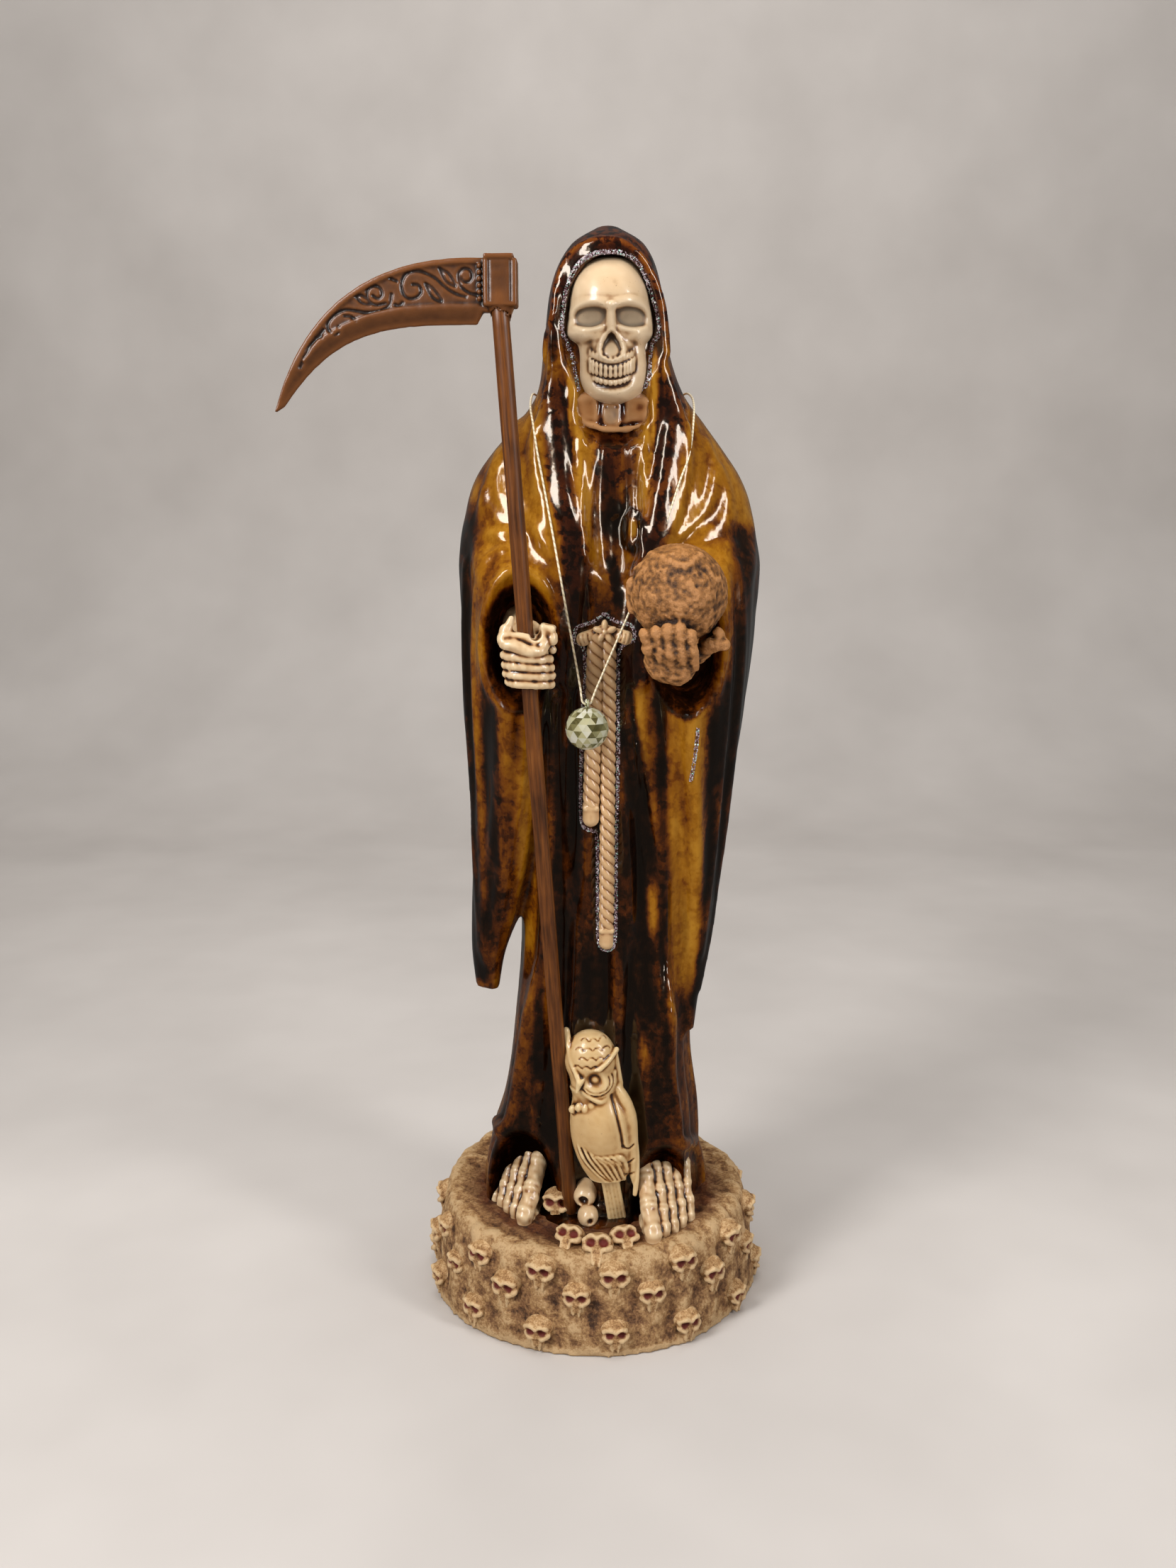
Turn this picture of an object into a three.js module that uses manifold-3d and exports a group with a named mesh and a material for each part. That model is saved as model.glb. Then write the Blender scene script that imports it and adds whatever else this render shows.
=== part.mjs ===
// Santa muerte figure: a cast resin statue on a round base, with a separate scythe,
// and a crystal ball on a thin cord round its neck.
// Millimetres, +Z up, the figure faces -Y, origin at the middle of the base's underside.

import * as THREE from 'three';
import { mergeVertices } from 'three/addons/utils/BufferGeometryUtils.js';
import { ConvexGeometry } from 'three/addons/geometries/ConvexGeometry.js';
import Module from 'manifold-3d';

const wasm = await Module();
wasm.setup();

// Driving sizes

const figureHeight = 540;
const baseHeight = 50;
const baseBottomRadius = 87;
const baseTopRadius = 80;
const baseEdgeRound = 4;
const smallSkullWidth = 14;
const smallSkullsAround = 14;

const poleDiameter = 7.4;
const fitClearance = 0.3;
const poleSocketDepth = 3;
const bladeThickness = 6;
const bladeBevel = 1.6;
const bladeLength = 90;
const socketWidth = 14;
const socketDepth = 13;
const socketHeight = 19;
const socketCapHeight = 1.8;
const collarHeight = 8;

const cordDiameter = 1;
const crystalDiameter = 20;
const crystalLugDiameter = 5;
const crystalHoleDiameter = 2.2;

// Drawing frame of the carving. Places are drawn on a figure 540 mm tall on a base 50 mm high,
// and keep their share of the height above the base.

const drawnHeight = 540;
const drawnBase = 50;
const unit = (figureHeight - baseHeight) / (drawnHeight - drawnBase);

function place(x, y, z) {
  return new THREE.Vector3(unit * x, unit * y, baseHeight + unit * (z - drawnBase));
}

// Solids, joins and cuts

function toManifold(geometry) {
  const bare = new THREE.BufferGeometry();
  bare.setAttribute('position', geometry.getAttribute('position').clone());
  if (geometry.index) {
    bare.setIndex(geometry.index.clone());
  }
  const merged = mergeVertices(bare, 1e-4);
  return new wasm.Manifold(new wasm.Mesh({
    numProp: 3,
    vertProperties: new Float32Array(merged.getAttribute('position').array),
    triVerts: new Uint32Array(merged.index.array),
  }));
}

function toGeometry(solid) {
  const mesh = solid.getMesh();
  const geometry = new THREE.BufferGeometry();
  geometry.setAttribute('position', new THREE.BufferAttribute(mesh.vertProperties, 3));
  geometry.setIndex(new THREE.BufferAttribute(mesh.triVerts, 1));
  geometry.computeVertexNormals();
  return geometry;
}

function join(solids) {
  return solids.reduce((sum, solid) => sum.add(solid));
}

// A closed skin over rings that hold the same number of points, from the first ring to the last.

function skin(rings) {
  const count = rings[0].length;
  const points = [];
  const faces = [];
  for (const ring of rings) {
    points.push(...ring);
  }
  for (let row = 0; row + 1 < rings.length; row += 1) {
    for (let i = 0; i < count; i += 1) {
      const a = row * count + i;
      const b = row * count + (i + 1) % count;
      faces.push(a, b, b + count, a, b + count, a + count);
    }
  }
  const ends = [[rings[0], 0, true], [rings[rings.length - 1], (rings.length - 1) * count, false]];
  for (const [ring, first, start] of ends) {
    const middle = points.length;
    const centre = new THREE.Vector3();
    ring.forEach((point) => centre.addScaledVector(point, 1 / count));
    points.push(centre);
    for (let i = 0; i < count; i += 1) {
      const a = first + i;
      const b = first + (i + 1) % count;
      faces.push(...(start ? [middle, b, a] : [middle, a, b]));
    }
  }
  const geometry = new THREE.BufferGeometry();
  geometry.setAttribute('position', new THREE.Float32BufferAttribute(points.flatMap((p) => p.toArray()), 3));
  geometry.setIndex(faces);
  return toManifold(geometry);
}

// An egg-shaped lump of the carving with its three half sizes, which may be turned.

const noTurn = new THREE.Euler();

function lump(centre, halfX, halfY, halfZ, turn = noTurn, sides = 7, rows = 5) {
  const geometry = new THREE.SphereGeometry(unit, sides, rows);
  geometry.rotateX(Math.PI / 2);
  const size = new THREE.Vector3(halfX, halfY, halfZ);
  const matrix = new THREE.Matrix4().compose(centre, new THREE.Quaternion().setFromEuler(turn), size);
  return toManifold(geometry.applyMatrix4(matrix));
}

// A round limb of the carving through the points, with a radius at each and blunt rounded ends.

const limbEndStep = 0.6;
const limbEndShare = 0.62;

function limb(points, drawnRadii, sides = 6, steps = 3) {
  const radii = drawnRadii.map((radius) => unit * radius);
  const curve = new THREE.CatmullRomCurve3(points);
  const frames = curve.computeFrenetFrames(steps, false);
  const rings = [];
  function ring(centre, frame, radius) {
    const loop = [];
    for (let i = 0; i < sides; i += 1) {
      const angle = (2 * Math.PI * i) / sides;
      loop.push(centre.clone()
        .addScaledVector(frames.normals[frame], radius * Math.cos(angle))
        .addScaledVector(frames.binormals[frame], radius * Math.sin(angle)));
    }
    rings.push(loop);
  }
  function radiusAt(share) {
    const spot = share * (radii.length - 1);
    const low = Math.min(Math.floor(spot), radii.length - 2);
    return THREE.MathUtils.lerp(radii[low], radii[low + 1], spot - low);
  }
  ring(curve.getPoint(0).addScaledVector(frames.tangents[0], -limbEndStep * radii[0]), 0, limbEndShare * radii[0]);
  for (let step = 0; step <= steps; step += 1) {
    ring(curve.getPoint(step / steps), step, radiusAt(step / steps));
  }
  const last = radii[radii.length - 1];
  ring(curve.getPoint(1).addScaledVector(frames.tangents[steps], limbEndStep * last), steps, limbEndShare * last);
  return skin(rings);
}

// Values between the rows of a table, by a smooth curve through them. A row starts with its height.

function between(table, height) {
  let low = 0;
  while (low < table.length - 2 && height > table[low + 1][0]) {
    low += 1;
  }
  const [before, from, to, after] = [low - 1, low, low + 1, low + 2]
    .map((row) => table[THREE.MathUtils.clamp(row, 0, table.length - 1)]);
  const span = to[0] - from[0];
  const t = THREE.MathUtils.clamp((height - from[0]) / span, 0, 1);
  return from.map((value, i) => {
    const startSlope = (to[i] - before[i]) / (to[0] - before[0]);
    const endSlope = (after[i] - value) / (after[0] - from[0]);
    return value * (2 * t ** 3 - 3 * t ** 2 + 1) + startSlope * span * (t ** 3 - 2 * t ** 2 + t)
      + to[i] * (3 * t ** 2 - 2 * t ** 3) + endSlope * span * (t ** 3 - t ** 2);
  });
}

function bump(offset, halfWidth) {
  const t = offset / halfWidth;
  return Math.abs(t) < 1 ? (1 - t * t) ** 2 : 0;
}

// The robe: gown, mantle and hood in one skin. Each row is a height, the middle in x,
// the half width, the front and the back in y.

const robeRows = [
  [48, -2.4, 57.5, -40, 44],
  [72, -1.9, 54, -41, 42],
  [101, 1.8, 48.5, -43, 40],
  [135, 2.5, 43.5, -46, 38],
  [200, 6, 41, -50, 35],
  [300, 6, 45, -54, 36],
  [340, 6.5, 56, -54, 37],
  [366, 6.4, 69, -53, 39],
  [392, 6.3, 70.5, -50, 39],
  [410, 6.7, 69, -48, 38],
  [424, 6.4, 64, -45, 36],
  [437, 6.6, 55, -43, 33],
  [449, 7.6, 45, -42, 31],
  [463, 7.2, 35, -42, 29],
  [484, 5.2, 29.6, -43, 28],
  [513, 5.2, 25.6, -42, 24],
  [530, 5.9, 17.5, -36, 15],
  [540, 6, 4, -13, 3],
];
const robeTurn = 8;
const robeSides = 34;
const robeRingGap = 40;

// Folds of the robe. Each follows a path of angles and heights, downwards, with its height above the
// robe and its half width in degrees. Angles go round from the viewer's right through the back, and
// the front is at -90. The first two are the hood's rims, which run on as lappets beside the chest.

const robeFolds = [
  { path: [[-152, 528], [-138, 510], [-137, 462], [-110, 415], [-104, 330]], proud: 4.5, wide: 12 },
  { path: [[-28, 528], [-42, 510], [-43, 462], [-70, 415], [-78, 330]], proud: 4.5, wide: 12 },
  { path: [[-160, 440], [-128, 352]], proud: 4, wide: 11 },
  { path: [[-20, 440], [-52, 352]], proud: 4, wide: 11 },
  { path: [[-122, 320], [-140, 48]], proud: 4, wide: 13 },
  { path: [[-58, 320], [-42, 48]], proud: 4, wide: 13 },
  { path: [[-104, 270], [-106, 110]], proud: 2.5, wide: 9 },
  { path: [[-78, 290], [-74, 100]], proud: 2.5, wide: 9 },
  { path: [[-50, 190], [-46, 40]], proud: 9, wide: 26 },
  { path: [[-132, 190], [-134, 40]], proud: 5, wide: 24 },
];
const sideFoldCount = 9;
const sideFoldStart = -20;
const sideFoldPitch = 27.5;
for (let i = 0; i < sideFoldCount; i += 1) {
  const angle = sideFoldStart + i * sideFoldPitch;
  const top = 410 - 60 * (i % 2);
  robeFolds.push({ path: [[angle + 4, top], [angle - 3, 48]], proud: 3.4 - (i % 3), wide: 13 });
}

function foldAt(angle, z) {
  let sum = 0;
  for (const { path, proud, wide } of robeFolds) {
    const top = path[0][1];
    const bottom = path[path.length - 1][1];
    if (z > top || z < bottom) {
      continue;
    }
    const low = path.findIndex((point, i) => i > 0 && z >= point[1]);
    const [from, to] = [path[low - 1], path[low]];
    const middle = THREE.MathUtils.mapLinear(z, from[1], to[1], from[0], to[0]);
    const t = (top - z) / (top - bottom);
    const fade = Math.min(1, 5 * t, 0.4 + 5 * (1 - t));
    const away = THREE.MathUtils.euclideanModulo(angle - middle + 180, 360) - 180;
    sum += fade * proud * bump(away, wide);
  }
  return sum;
}

// A ring of the robe at a height. Points crowd towards the front, where the carving is.

function robeRing(z) {
  const [, middle, half, front, back] = between(robeRows, z);
  const turn = THREE.MathUtils.degToRad(robeTurn) * THREE.MathUtils.smoothstep(300 - z, 0, 250);
  const centreY = (front + back) / 2 - 0.12 * (back - front) * 0.5;
  const ring = [];
  for (let i = 0; i < robeSides; i += 1) {
    const even = (2 * Math.PI * i) / robeSides;
    const angle = even - Math.PI / 2 - 0.32 * Math.sin(even);
    const depth = Math.sin(angle) < 0 ? centreY - front : back - centreY;
    const shape = (Math.abs(Math.cos(angle)) ** 2.3 + Math.abs(Math.sin(angle)) ** 2.3) ** (-1 / 2.3);
    const fold = foldAt(THREE.MathUtils.radToDeg(angle), z);
    const x = (half * shape + fold) * Math.cos(angle);
    const y = (depth * shape + fold) * Math.sin(angle);
    ring.push(place(
      middle + x * Math.cos(turn) + y * Math.sin(turn),
      centreY - x * Math.sin(turn) + y * Math.cos(turn),
      z,
    ));
  }
  return ring;
}

function robe() {
  const rings = [];
  robeRows.forEach(([z], row) => {
    rings.push(robeRing(z));
    const next = robeRows[row + 1] ? robeRows[row + 1][0] : z;
    const extra = Math.ceil((next - z) / robeRingGap) - 1;
    for (let step = 1; step <= extra; step += 1) {
      rings.push(robeRing(THREE.MathUtils.lerp(z, next, step / (extra + 1))));
    }
  });
  return skin(rings);
}

// The hanging sleeves. Each row is a height, the middle in x and y, the half length along the arm,
// the half width across it and the turn of the arm in degrees.

const rightHandSleeve = [
  [168, -54, -18, 8, 5.5, 0],
  [187, -53, -17, 14, 8.5, 0],
  [206, -49.5, -17, 17, 12, 0],
  [235, -45.5, -19, 23, 15, 5],
  [272, -43, -21, 29, 17, 10],
  [309, -43, -24, 35, 19.5, 14],
  [345, -42, -27, 39, 21, 18],
  [372, -42, -26.5, 38, 21.5, 18],
  [386, -43, -21, 33, 21.5, 16],
  [402, -43, -10, 24, 18, 10],
  [418, -40, 0, 12, 11, 0],
];
const leftHandSleeve = [
  [148, 47, -20, 8, 4, 0],
  [165, 46.5, -19, 12, 7, 0],
  [187, 47.5, -18, 16, 10, 0],
  [206, 48, -18, 19, 12.5, 0],
  [235, 48, -20, 23, 15, -5],
  [272, 49.5, -22, 29, 17, -10],
  [309, 52, -25, 35, 19.5, -14],
  [345, 53.5, -28, 39, 21, -18],
  [372, 54.5, -26.5, 38, 21.5, -18],
  [386, 56, -21, 33, 21.5, -16],
  [402, 56, -10, 24, 18, -10],
  [418, 53, 0, 12, 11, 0],
];
const sleeveSides = 12;
const sleeveSteps = 8;
const sleeveFoldProud = 1.2;

function sleeve(rows) {
  const rings = [];
  for (let step = 0; step <= sleeveSteps; step += 1) {
    const z = THREE.MathUtils.lerp(rows[0][0], rows[rows.length - 1][0], step / sleeveSteps);
    const [, middleX, middleY, long, short, turnDegrees] = between(rows, z);
    const turn = THREE.MathUtils.degToRad(turnDegrees);
    const ring = [];
    for (let i = 0; i < sleeveSides; i += 1) {
      const angle = (2 * Math.PI * i) / sleeveSides;
      const fold = sleeveFoldProud * Math.cos(3 * angle + z / 60);
      const x = (short + fold) * Math.cos(angle);
      const y = (long + fold) * Math.sin(angle);
      ring.push(place(
        middleX + x * Math.cos(turn) - y * Math.sin(turn),
        middleY + x * Math.sin(turn) + y * Math.cos(turn),
        z,
      ));
    }
    rings.push(ring);
  }
  return skin(rings);
}

// The base: an uneven drum that bulges at the foot and rises a little to the back.

const baseTurn = 0.12;
const baseRise = 3.5;

function baseDrum() {
  const baseSides = 2 * smallSkullsAround;
  const profile = [
    [baseBottomRadius - 2, 0],
    [baseBottomRadius, baseEdgeRound],
    [baseTopRadius, baseHeight - baseEdgeRound],
    [baseTopRadius - baseEdgeRound, baseHeight],
  ];
  const rings = profile.map(([radius, z], row) => {
    const ring = [];
    for (let i = 0; i < baseSides; i += 1) {
      const angle = (2 * Math.PI * (i + 0.5)) / baseSides + baseTurn - Math.PI / 2;
      const uneven = row === 1 || row === 2 ? 0.8 * Math.sin(5 * angle + row) : 0;
      const rise = z > baseHeight / 2 ? baseRise * (1 + Math.sin(angle)) : 0;
      const reach = radius + uneven;
      ring.push(new THREE.Vector3(reach * Math.cos(angle), reach * Math.sin(angle), z + rise));
    }
    return ring;
  });
  return skin(rings);
}

// Small skulls in three staggered rows round the base.

function smallSkull(centre, facing, width, lean, sides = 6, rows = 3) {
  const geometry = new THREE.SphereGeometry(1, sides, rows).rotateX(Math.PI / 2);
  const positions = geometry.getAttribute('position');
  for (let i = 0; i < positions.count; i += 1) {
    const z = positions.getZ(i);
    const jaw = z < 0 ? 1 + 0.42 * z : 1;
    positions.setX(i, positions.getX(i) * jaw * width * 0.64);
    positions.setY(i, positions.getY(i) * width * 0.4);
    positions.setZ(i, z * width * 0.66);
  }
  geometry.rotateX(lean);
  geometry.rotateZ(facing);
  geometry.translate(centre.x, centre.y, centre.z);
  return toManifold(geometry);
}

function baseSkulls() {
  const skulls = [];
  const rows = [[0.8, 0], [0.56, 0.5], [0.2, 0]];
  rows.forEach(([share, shift], row) => {
    for (let i = 0; i < smallSkullsAround; i += 1) {
      const facing = (2 * Math.PI * (i + shift)) / smallSkullsAround + baseTurn;
      const z = baseHeight * (share + 0.04 * Math.sin(7.3 * i + row));
      const radius = THREE.MathUtils.lerp(baseBottomRadius, baseTopRadius, share) - 0.05 * smallSkullWidth;
      const centre = new THREE.Vector3(radius * Math.sin(facing), -radius * Math.cos(facing), z);
      const plain = Math.cos(facing) < 0.1;
      skulls.push(smallSkull(centre, facing, smallSkullWidth, 0, plain ? 4 : 6));
    }
  });
  return skulls;
}

// The skull face in the hood. Each row is a height, the middle in x, the half width and the front.

const faceRows = [
  [457.5, 8.3, 4, -44],
  [461, 8.3, 11, -48],
  [465, 8.3, 14, -49.5],
  [470, 8.4, 15.3, -49],
  [479, 7.9, 14.5, -47.5],
  [484, 7.3, 16, -46.5],
  [488, 6.9, 19.8, -45.5],
  [494, 7, 19.5, -44.5],
  [500, 7.1, 19.3, -47.5],
  [508, 6.7, 17.5, -46],
  [516.5, 6, 14, -40],
  [523.3, 6.5, 4, -28],
];
const faceBack = -16;
const faceSides = 12;

function skullFace() {
  const rings = faceRows.map(([z, middle, half, front]) => {
    const ring = [];
    for (let i = 0; i < faceSides; i += 1) {
      const angle = (2 * Math.PI * i) / faceSides;
      const depth = Math.sin(angle) < 0 ? faceBack - front : 8;
      const square = Math.abs(Math.sin(angle)) ** 0.8 * Math.sign(Math.sin(angle));
      ring.push(place(middle + half * Math.cos(angle), faceBack + depth * square, z));
    }
    return ring;
  });
  const eyeAway = 9;
  let head = skin(rings);
  for (const hand of [-1, 1]) {
    const socket = lump(place(7.1 + hand * eyeAway, -44, 495.3), 6, 9, 5, noTurn, 7, 5);
    head = head.subtract(socket);
  }
  const nose = lump(place(7.8, -47, 483.3), 4.2, 7, 5.8, noTurn, 5, 4);
  const mouth = lump(place(7.8, -50, 468), 10.5, 4, 1.3, noTurn, 8, 4);
  const teeth = lump(place(7.8, -44.5, 471), 10, 7, 4.2, noTurn, 8, 5);
  return head.add(teeth).subtract(nose).subtract(mouth);
}

// The fist that holds the pole, and the rough globe in the other hand.

const poleFoot = [-12, -38, drawnBase];
const poleTop = [-39.2, -98.2, 485.5];

function polePoint(z) {
  const t = (z - poleFoot[2]) / (poleTop[2] - poleFoot[2]);
  return poleFoot.map((value, i) => THREE.MathUtils.lerp(value, poleTop[i], t));
}

function fist() {
  const fingerCount = 4;
  const fingerPitch = 6.3;
  const fistBottom = 331.5;
  const fistSides = 11;
  const rings = [];
  const turns = 2 * fingerCount + 2;
  for (let step = 0; step <= turns; step += 1) {
    const z = fistBottom + (step * fingerPitch) / 2;
    const [x, y] = polePoint(z);
    const end = step === 0 || step === turns;
    const swell = end ? -3.5 : 1.9 * (step % 2);
    const ring = [];
    for (let i = 0; i < fistSides; i += 1) {
      const angle = (2 * Math.PI * (i + 0.5)) / fistSides;
      const across = (11.2 + swell) * Math.cos(angle);
      const deep = (Math.sin(angle) < 0 ? 6.6 + 0.6 * swell : 15) * Math.sin(angle);
      ring.push(place(x + across, y + deep, z - 0.16 * across));
    }
    rings.push(ring);
  }
  const [x, y] = polePoint(347);
  const wrist = [place(x + 1, y + 8, 350), place(x - 1, y + 26, 352), place(x - 8, y + 50, 360)];
  const thumbZ = 358.5;
  const thumb = [place(x - 11, y + 4, thumbZ), place(x - 7, y - 5, thumbZ + 1), place(x + 8, y - 4, thumbZ - 3)];
  return join([skin(rings), limb(wrist, [7, 6, 8]), limb(thumb, [3.6, 3.4, 4], 5)]);
}

const globeCentre = [37, -85, 373];
const globeRadius = 21.8;

function globeHand() {
  const [x, y, z] = globeCentre;
  const globe = new THREE.IcosahedronGeometry(unit * globeRadius, 2);
  const positions = globe.getAttribute('position');
  for (let i = 0; i < positions.count; i += 1) {
    const point = new THREE.Vector3().fromBufferAttribute(positions, i);
    point.multiplyScalar(1 + 0.025 * Math.sin(0.5 * point.x + 0.6 * point.z) * Math.cos(0.4 * point.y));
    positions.setXYZ(i, point.x, point.y, point.z);
  }
  const middle = place(x, y, z);
  globe.translate(middle.x, middle.y, middle.z);
  const thumb = [place(x + 3, y + 5, z - 25), place(x + 15, y - 4, z - 23), place(x + 23, y - 5, z - 19)];
  const wrist = [place(x + 2, y + 8, z - 24), place(x + 5, y + 30, z - 22), place(x + 10, y + 52, z - 14)];
  return join([
    toManifold(globe),
    fingerBlock(x - 13, y, z),
    limb(thumb, [4.4, 3.4, 4.4], 5),
    limb(wrist, [6, 6, 8]),
    lump(place(x - 19.5, y, z + 1), 4, 5, 7),
  ]);
}

// Four fingers side by side, which lie up against the front of the globe from the palm below.

function fingerBlock(left, globeY, globeZ) {
  const fingerCount = 4;
  const fingerPitch = 5.6;
  const columns = 2 * fingerCount + 1;
  const rows = [[-35, -6, 12], [-33, -12, 9], [-24, -17.5, 9], [-14, -20, 6], [-11, -18, 4]];
  const rings = rows.map(([up, front, thick], row) => {
    const ring = [];
    for (let i = 0; i < columns; i += 1) {
      const proud = i % 2 ? 2.4 : 0;
      const slant = 4 * (1 - row / (rows.length - 1));
      ring.push(place(left + slant + (i * fingerPitch) / 2, globeY + front - proud, globeZ + up + 0.3 * i));
    }
    for (const i of [columns - 1, (columns - 1) / 2, 0]) {
      ring.push(place(left + (i * fingerPitch) / 2, globeY + front + thick, globeZ + up));
    }
    return ring;
  });
  return skin(rings);
}

// Skeletal feet. The big toe is on the inner side, and side is -1 for the foot at the viewer's left.

const toeCount = 5;
const toePitch = 5.4;
const bigToeReach = 45;
const littleToeShorter = 21;
const footTops = [[0.1, 88], [0.42, 79], [0.62, 71.5], [0.8, 65], [0.97, 59], [1.04, 53]];

function foot(heelX, heelY, heading, side) {
  const along = new THREE.Vector2(Math.sin(heading), -Math.cos(heading));
  const across = new THREE.Vector2(Math.cos(heading), Math.sin(heading)).multiplyScalar(side);
  const spot = (forward, out, z) => place(
    heelX + along.x * forward + across.x * out, heelY + along.y * forward + across.y * out, z,
  );
  const reach = (toe) => bigToeReach - littleToeShorter * (toe / toeCount) ** 1.3;
  const rings = footTops.map(([share, top]) => {
    const ring = [];
    for (let i = 0; i <= 2 * toeCount; i += 1) {
      const toe = i / 2;
      const groove = i % 2 ? 0 : 3.4;
      ring.push(spot(share * reach(toe), (toe - toeCount / 2) * toePitch, top - groove - 0.9 * toe));
    }
    for (const toe of [toeCount, toeCount / 2, 0]) {
      ring.push(spot(share * reach(toe), (toe - toeCount / 2) * toePitch, drawnBase - 1));
    }
    return side > 0 ? ring.reverse() : ring;
  });
  return skin(rings);
}

// The owl that leans on the gown, between the feet.

const owlRows = [
  [74, 7, 8, -48, 6],
  [84, 6, 13, -49, 8],
  [98, 4.5, 16, -49, 11],
  [112, 3.3, 15.5, -49, 12],
  [121, 1.5, 12.5, -49, 10],
  [127, -1, 11.5, -49, 10],
  [137, -2, 12.8, -49, 12],
  [148, -3, 11.5, -49, 10.5],
  [155, -3.5, 6, -48, 6],
];
const owlSides = 9;

function owl() {
  const rings = owlRows.map(([z, x, half, y, deep]) => {
    const ring = [];
    for (let i = 0; i < owlSides; i += 1) {
      const angle = (2 * Math.PI * i) / owlSides - Math.PI / 2;
      ring.push(place(x + half * Math.cos(angle), y + deep * Math.sin(angle), z));
    }
    return ring;
  });
  return join([
    skin(rings),
    lump(place(14.5, -48, 94), 7, 9, 32, new THREE.Euler(0.1, -0.14, 0)),
    limb([place(-11, -51, 146), place(-13.8, -50, 155)], [3, 1.2], 4, 1),
    limb([place(5, -57, 138), place(9.8, -52, 145.5)], [3, 1.4], 4, 1),
    limb([place(5, -50, 80), place(8.5, -42, 51)], [6.5, 4.5], 6, 1),
  ]);
}

// Small skulls and bones on the floor between and before the feet.

function floorBones() {
  const width = unit * smallSkullWidth;
  return [
    smallSkull(place(-16.6, -54, 52), -0.3, width, -0.7),
    smallSkull(place(-4.5, -66, 51), 0, width, -0.7),
    smallSkull(place(11.3, -57, 52), 0.3, width, -0.7),
    smallSkull(place(-20.5, -31, 56), -0.2, width, -0.2),
    lump(place(-3.5, -46, 55), 6, 6, 6),
    limb([place(-2, -32, 68), place(-5, -41, 66)], [5.5, 5.5]),
  ];
}

// The carved rope belt: a knot with two hanging tails.

function ropeBelt() {
  const front = (z) => between(robeRows, z)[3];
  const top = 352;
  const tail = (x, lean, bottom, radius) => {
    const points = [top, 300, 250, bottom].filter((z) => z >= bottom).map((z) => (
      place(x + (lean * (top - z)) / 100, front(z) - 4.2, z)
    ));
    return limb(points, points.map(() => radius), 5, Math.round((top - bottom) / 28));
  };
  return [
    tail(-1, 0.6, 264, 4.6),
    tail(6.2, -1.4, 197, 4.3),
    limb([place(-8, front(top) + 1, 350), place(4.5, front(top) - 4, top), place(17.5, front(top) + 1, 350)],
      [4.2, 4.8, 4.2], 6, 2),
    lump(place(4.5, front(top) - 7, top), 6.5, 4, 6.5),
  ];
}

// The figure, put together and cut.

function figure() {
  let solid = join([
    baseDrum(), robe(), sleeve(rightHandSleeve), sleeve(leftHandSleeve),
  ]);
  const faceHollow = lump(place(7, -47, 492), 26, 27, 38, noTurn, 12, 7);
  const neckHollow = lump(place(8.5, -47, 456), 20, 19, 21, noTurn, 10, 5);
  const chestHollow = lump(place(9.5, -56, 424), 17.5, 17, 52, noTurn, 10, 5);
  const cuffs = [
    lump(place(-34.5, -66, 350), 19, 22, 32, noTurn, 10, 6),
    lump(place(42, -66, 348), 19, 22, 32, noTurn, 10, 6),
  ];
  const hemArches = [
    lump(place(-38, -42, 50), 21, 26, 46, noTurn, 10, 6),
    lump(place(36, -56, 50), 19, 28, 43, noTurn, 10, 6),
  ];
  const floor = new THREE.BoxGeometry(3 * baseTopRadius, 3 * baseTopRadius, 2 * baseHeight);
  const aboveFloor = toManifold(floor.translate(0, 0, 2 * baseHeight + 0.5));
  for (const cut of [faceHollow, neckHollow, chestHollow, ...cuffs]) {
    solid = solid.subtract(cut);
  }
  for (const arch of hemArches) {
    solid = solid.subtract(arch.intersect(aboveFloor));
  }
  solid = join([
    solid, skullFace(), fist(), globeHand(),
    foot(-32, -0.5, -0.3, -1), foot(36, -19, 0.2, 1),
    lump(place(8.5, -35, 451), 9, 7, 9), owl(), ...floorBones(), ...ropeBelt(), ...baseSkulls(),
  ]);
  const underside = new THREE.BoxGeometry(4 * baseBottomRadius, 4 * baseBottomRadius, baseHeight);
  solid = solid.subtract(toManifold(underside.translate(0, 0, -baseHeight / 2)));
  return solid.subtract(poleSolid(poleDiameter / 2 + fitClearance, fitClearance));
}

// The scythe: a wooden pole, and a cast blade whose socket sits over the pole's top.

const poleSides = 12;
const poleEngagement = collarHeight + 0.55 * socketHeight;

function poleLine() {
  const foot = place(...poleFoot);
  const top = place(...poleTop);
  const direction = top.clone().sub(foot).normalize();
  return { foot, top, direction };
}

function poleSolid(radius, extra) {
  const { foot, top, direction } = poleLine();
  const start = foot.clone().addScaledVector(direction, -poleSocketDepth - extra);
  const length = start.distanceTo(top) + poleEngagement + extra;
  const geometry = new THREE.CylinderGeometry(radius, radius, length, poleSides);
  geometry.rotateX(Math.PI / 2);
  geometry.applyQuaternion(new THREE.Quaternion().setFromUnitVectors(new THREE.Vector3(0, 0, 1), direction));
  const middle = start.addScaledVector(direction, length / 2);
  geometry.translate(middle.x, middle.y, middle.z);
  return toManifold(geometry);
}

// The blade is drawn flat, x to the viewer's right and z up, from the top of the pole.

function bladeShape() {
  const share = bladeLength / 90;
  const shape = new THREE.Shape();
  shape.moveTo(-5, 26.5);
  shape.bezierCurveTo(-7 - 59 * share, 29.5, -7 - 80 * share, -6.5, -7 - 89.2 * share, -35.6);
  shape.lineTo(-7 - 85 * share, -33.2);
  shape.bezierCurveTo(-7 - 62 * share, -0.5, -7 - 40 * share, 0, -10, 0);
  shape.lineTo(-7.5, 5);
  shape.lineTo(-5, 5);
  shape.closePath();
  return shape;
}

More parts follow.
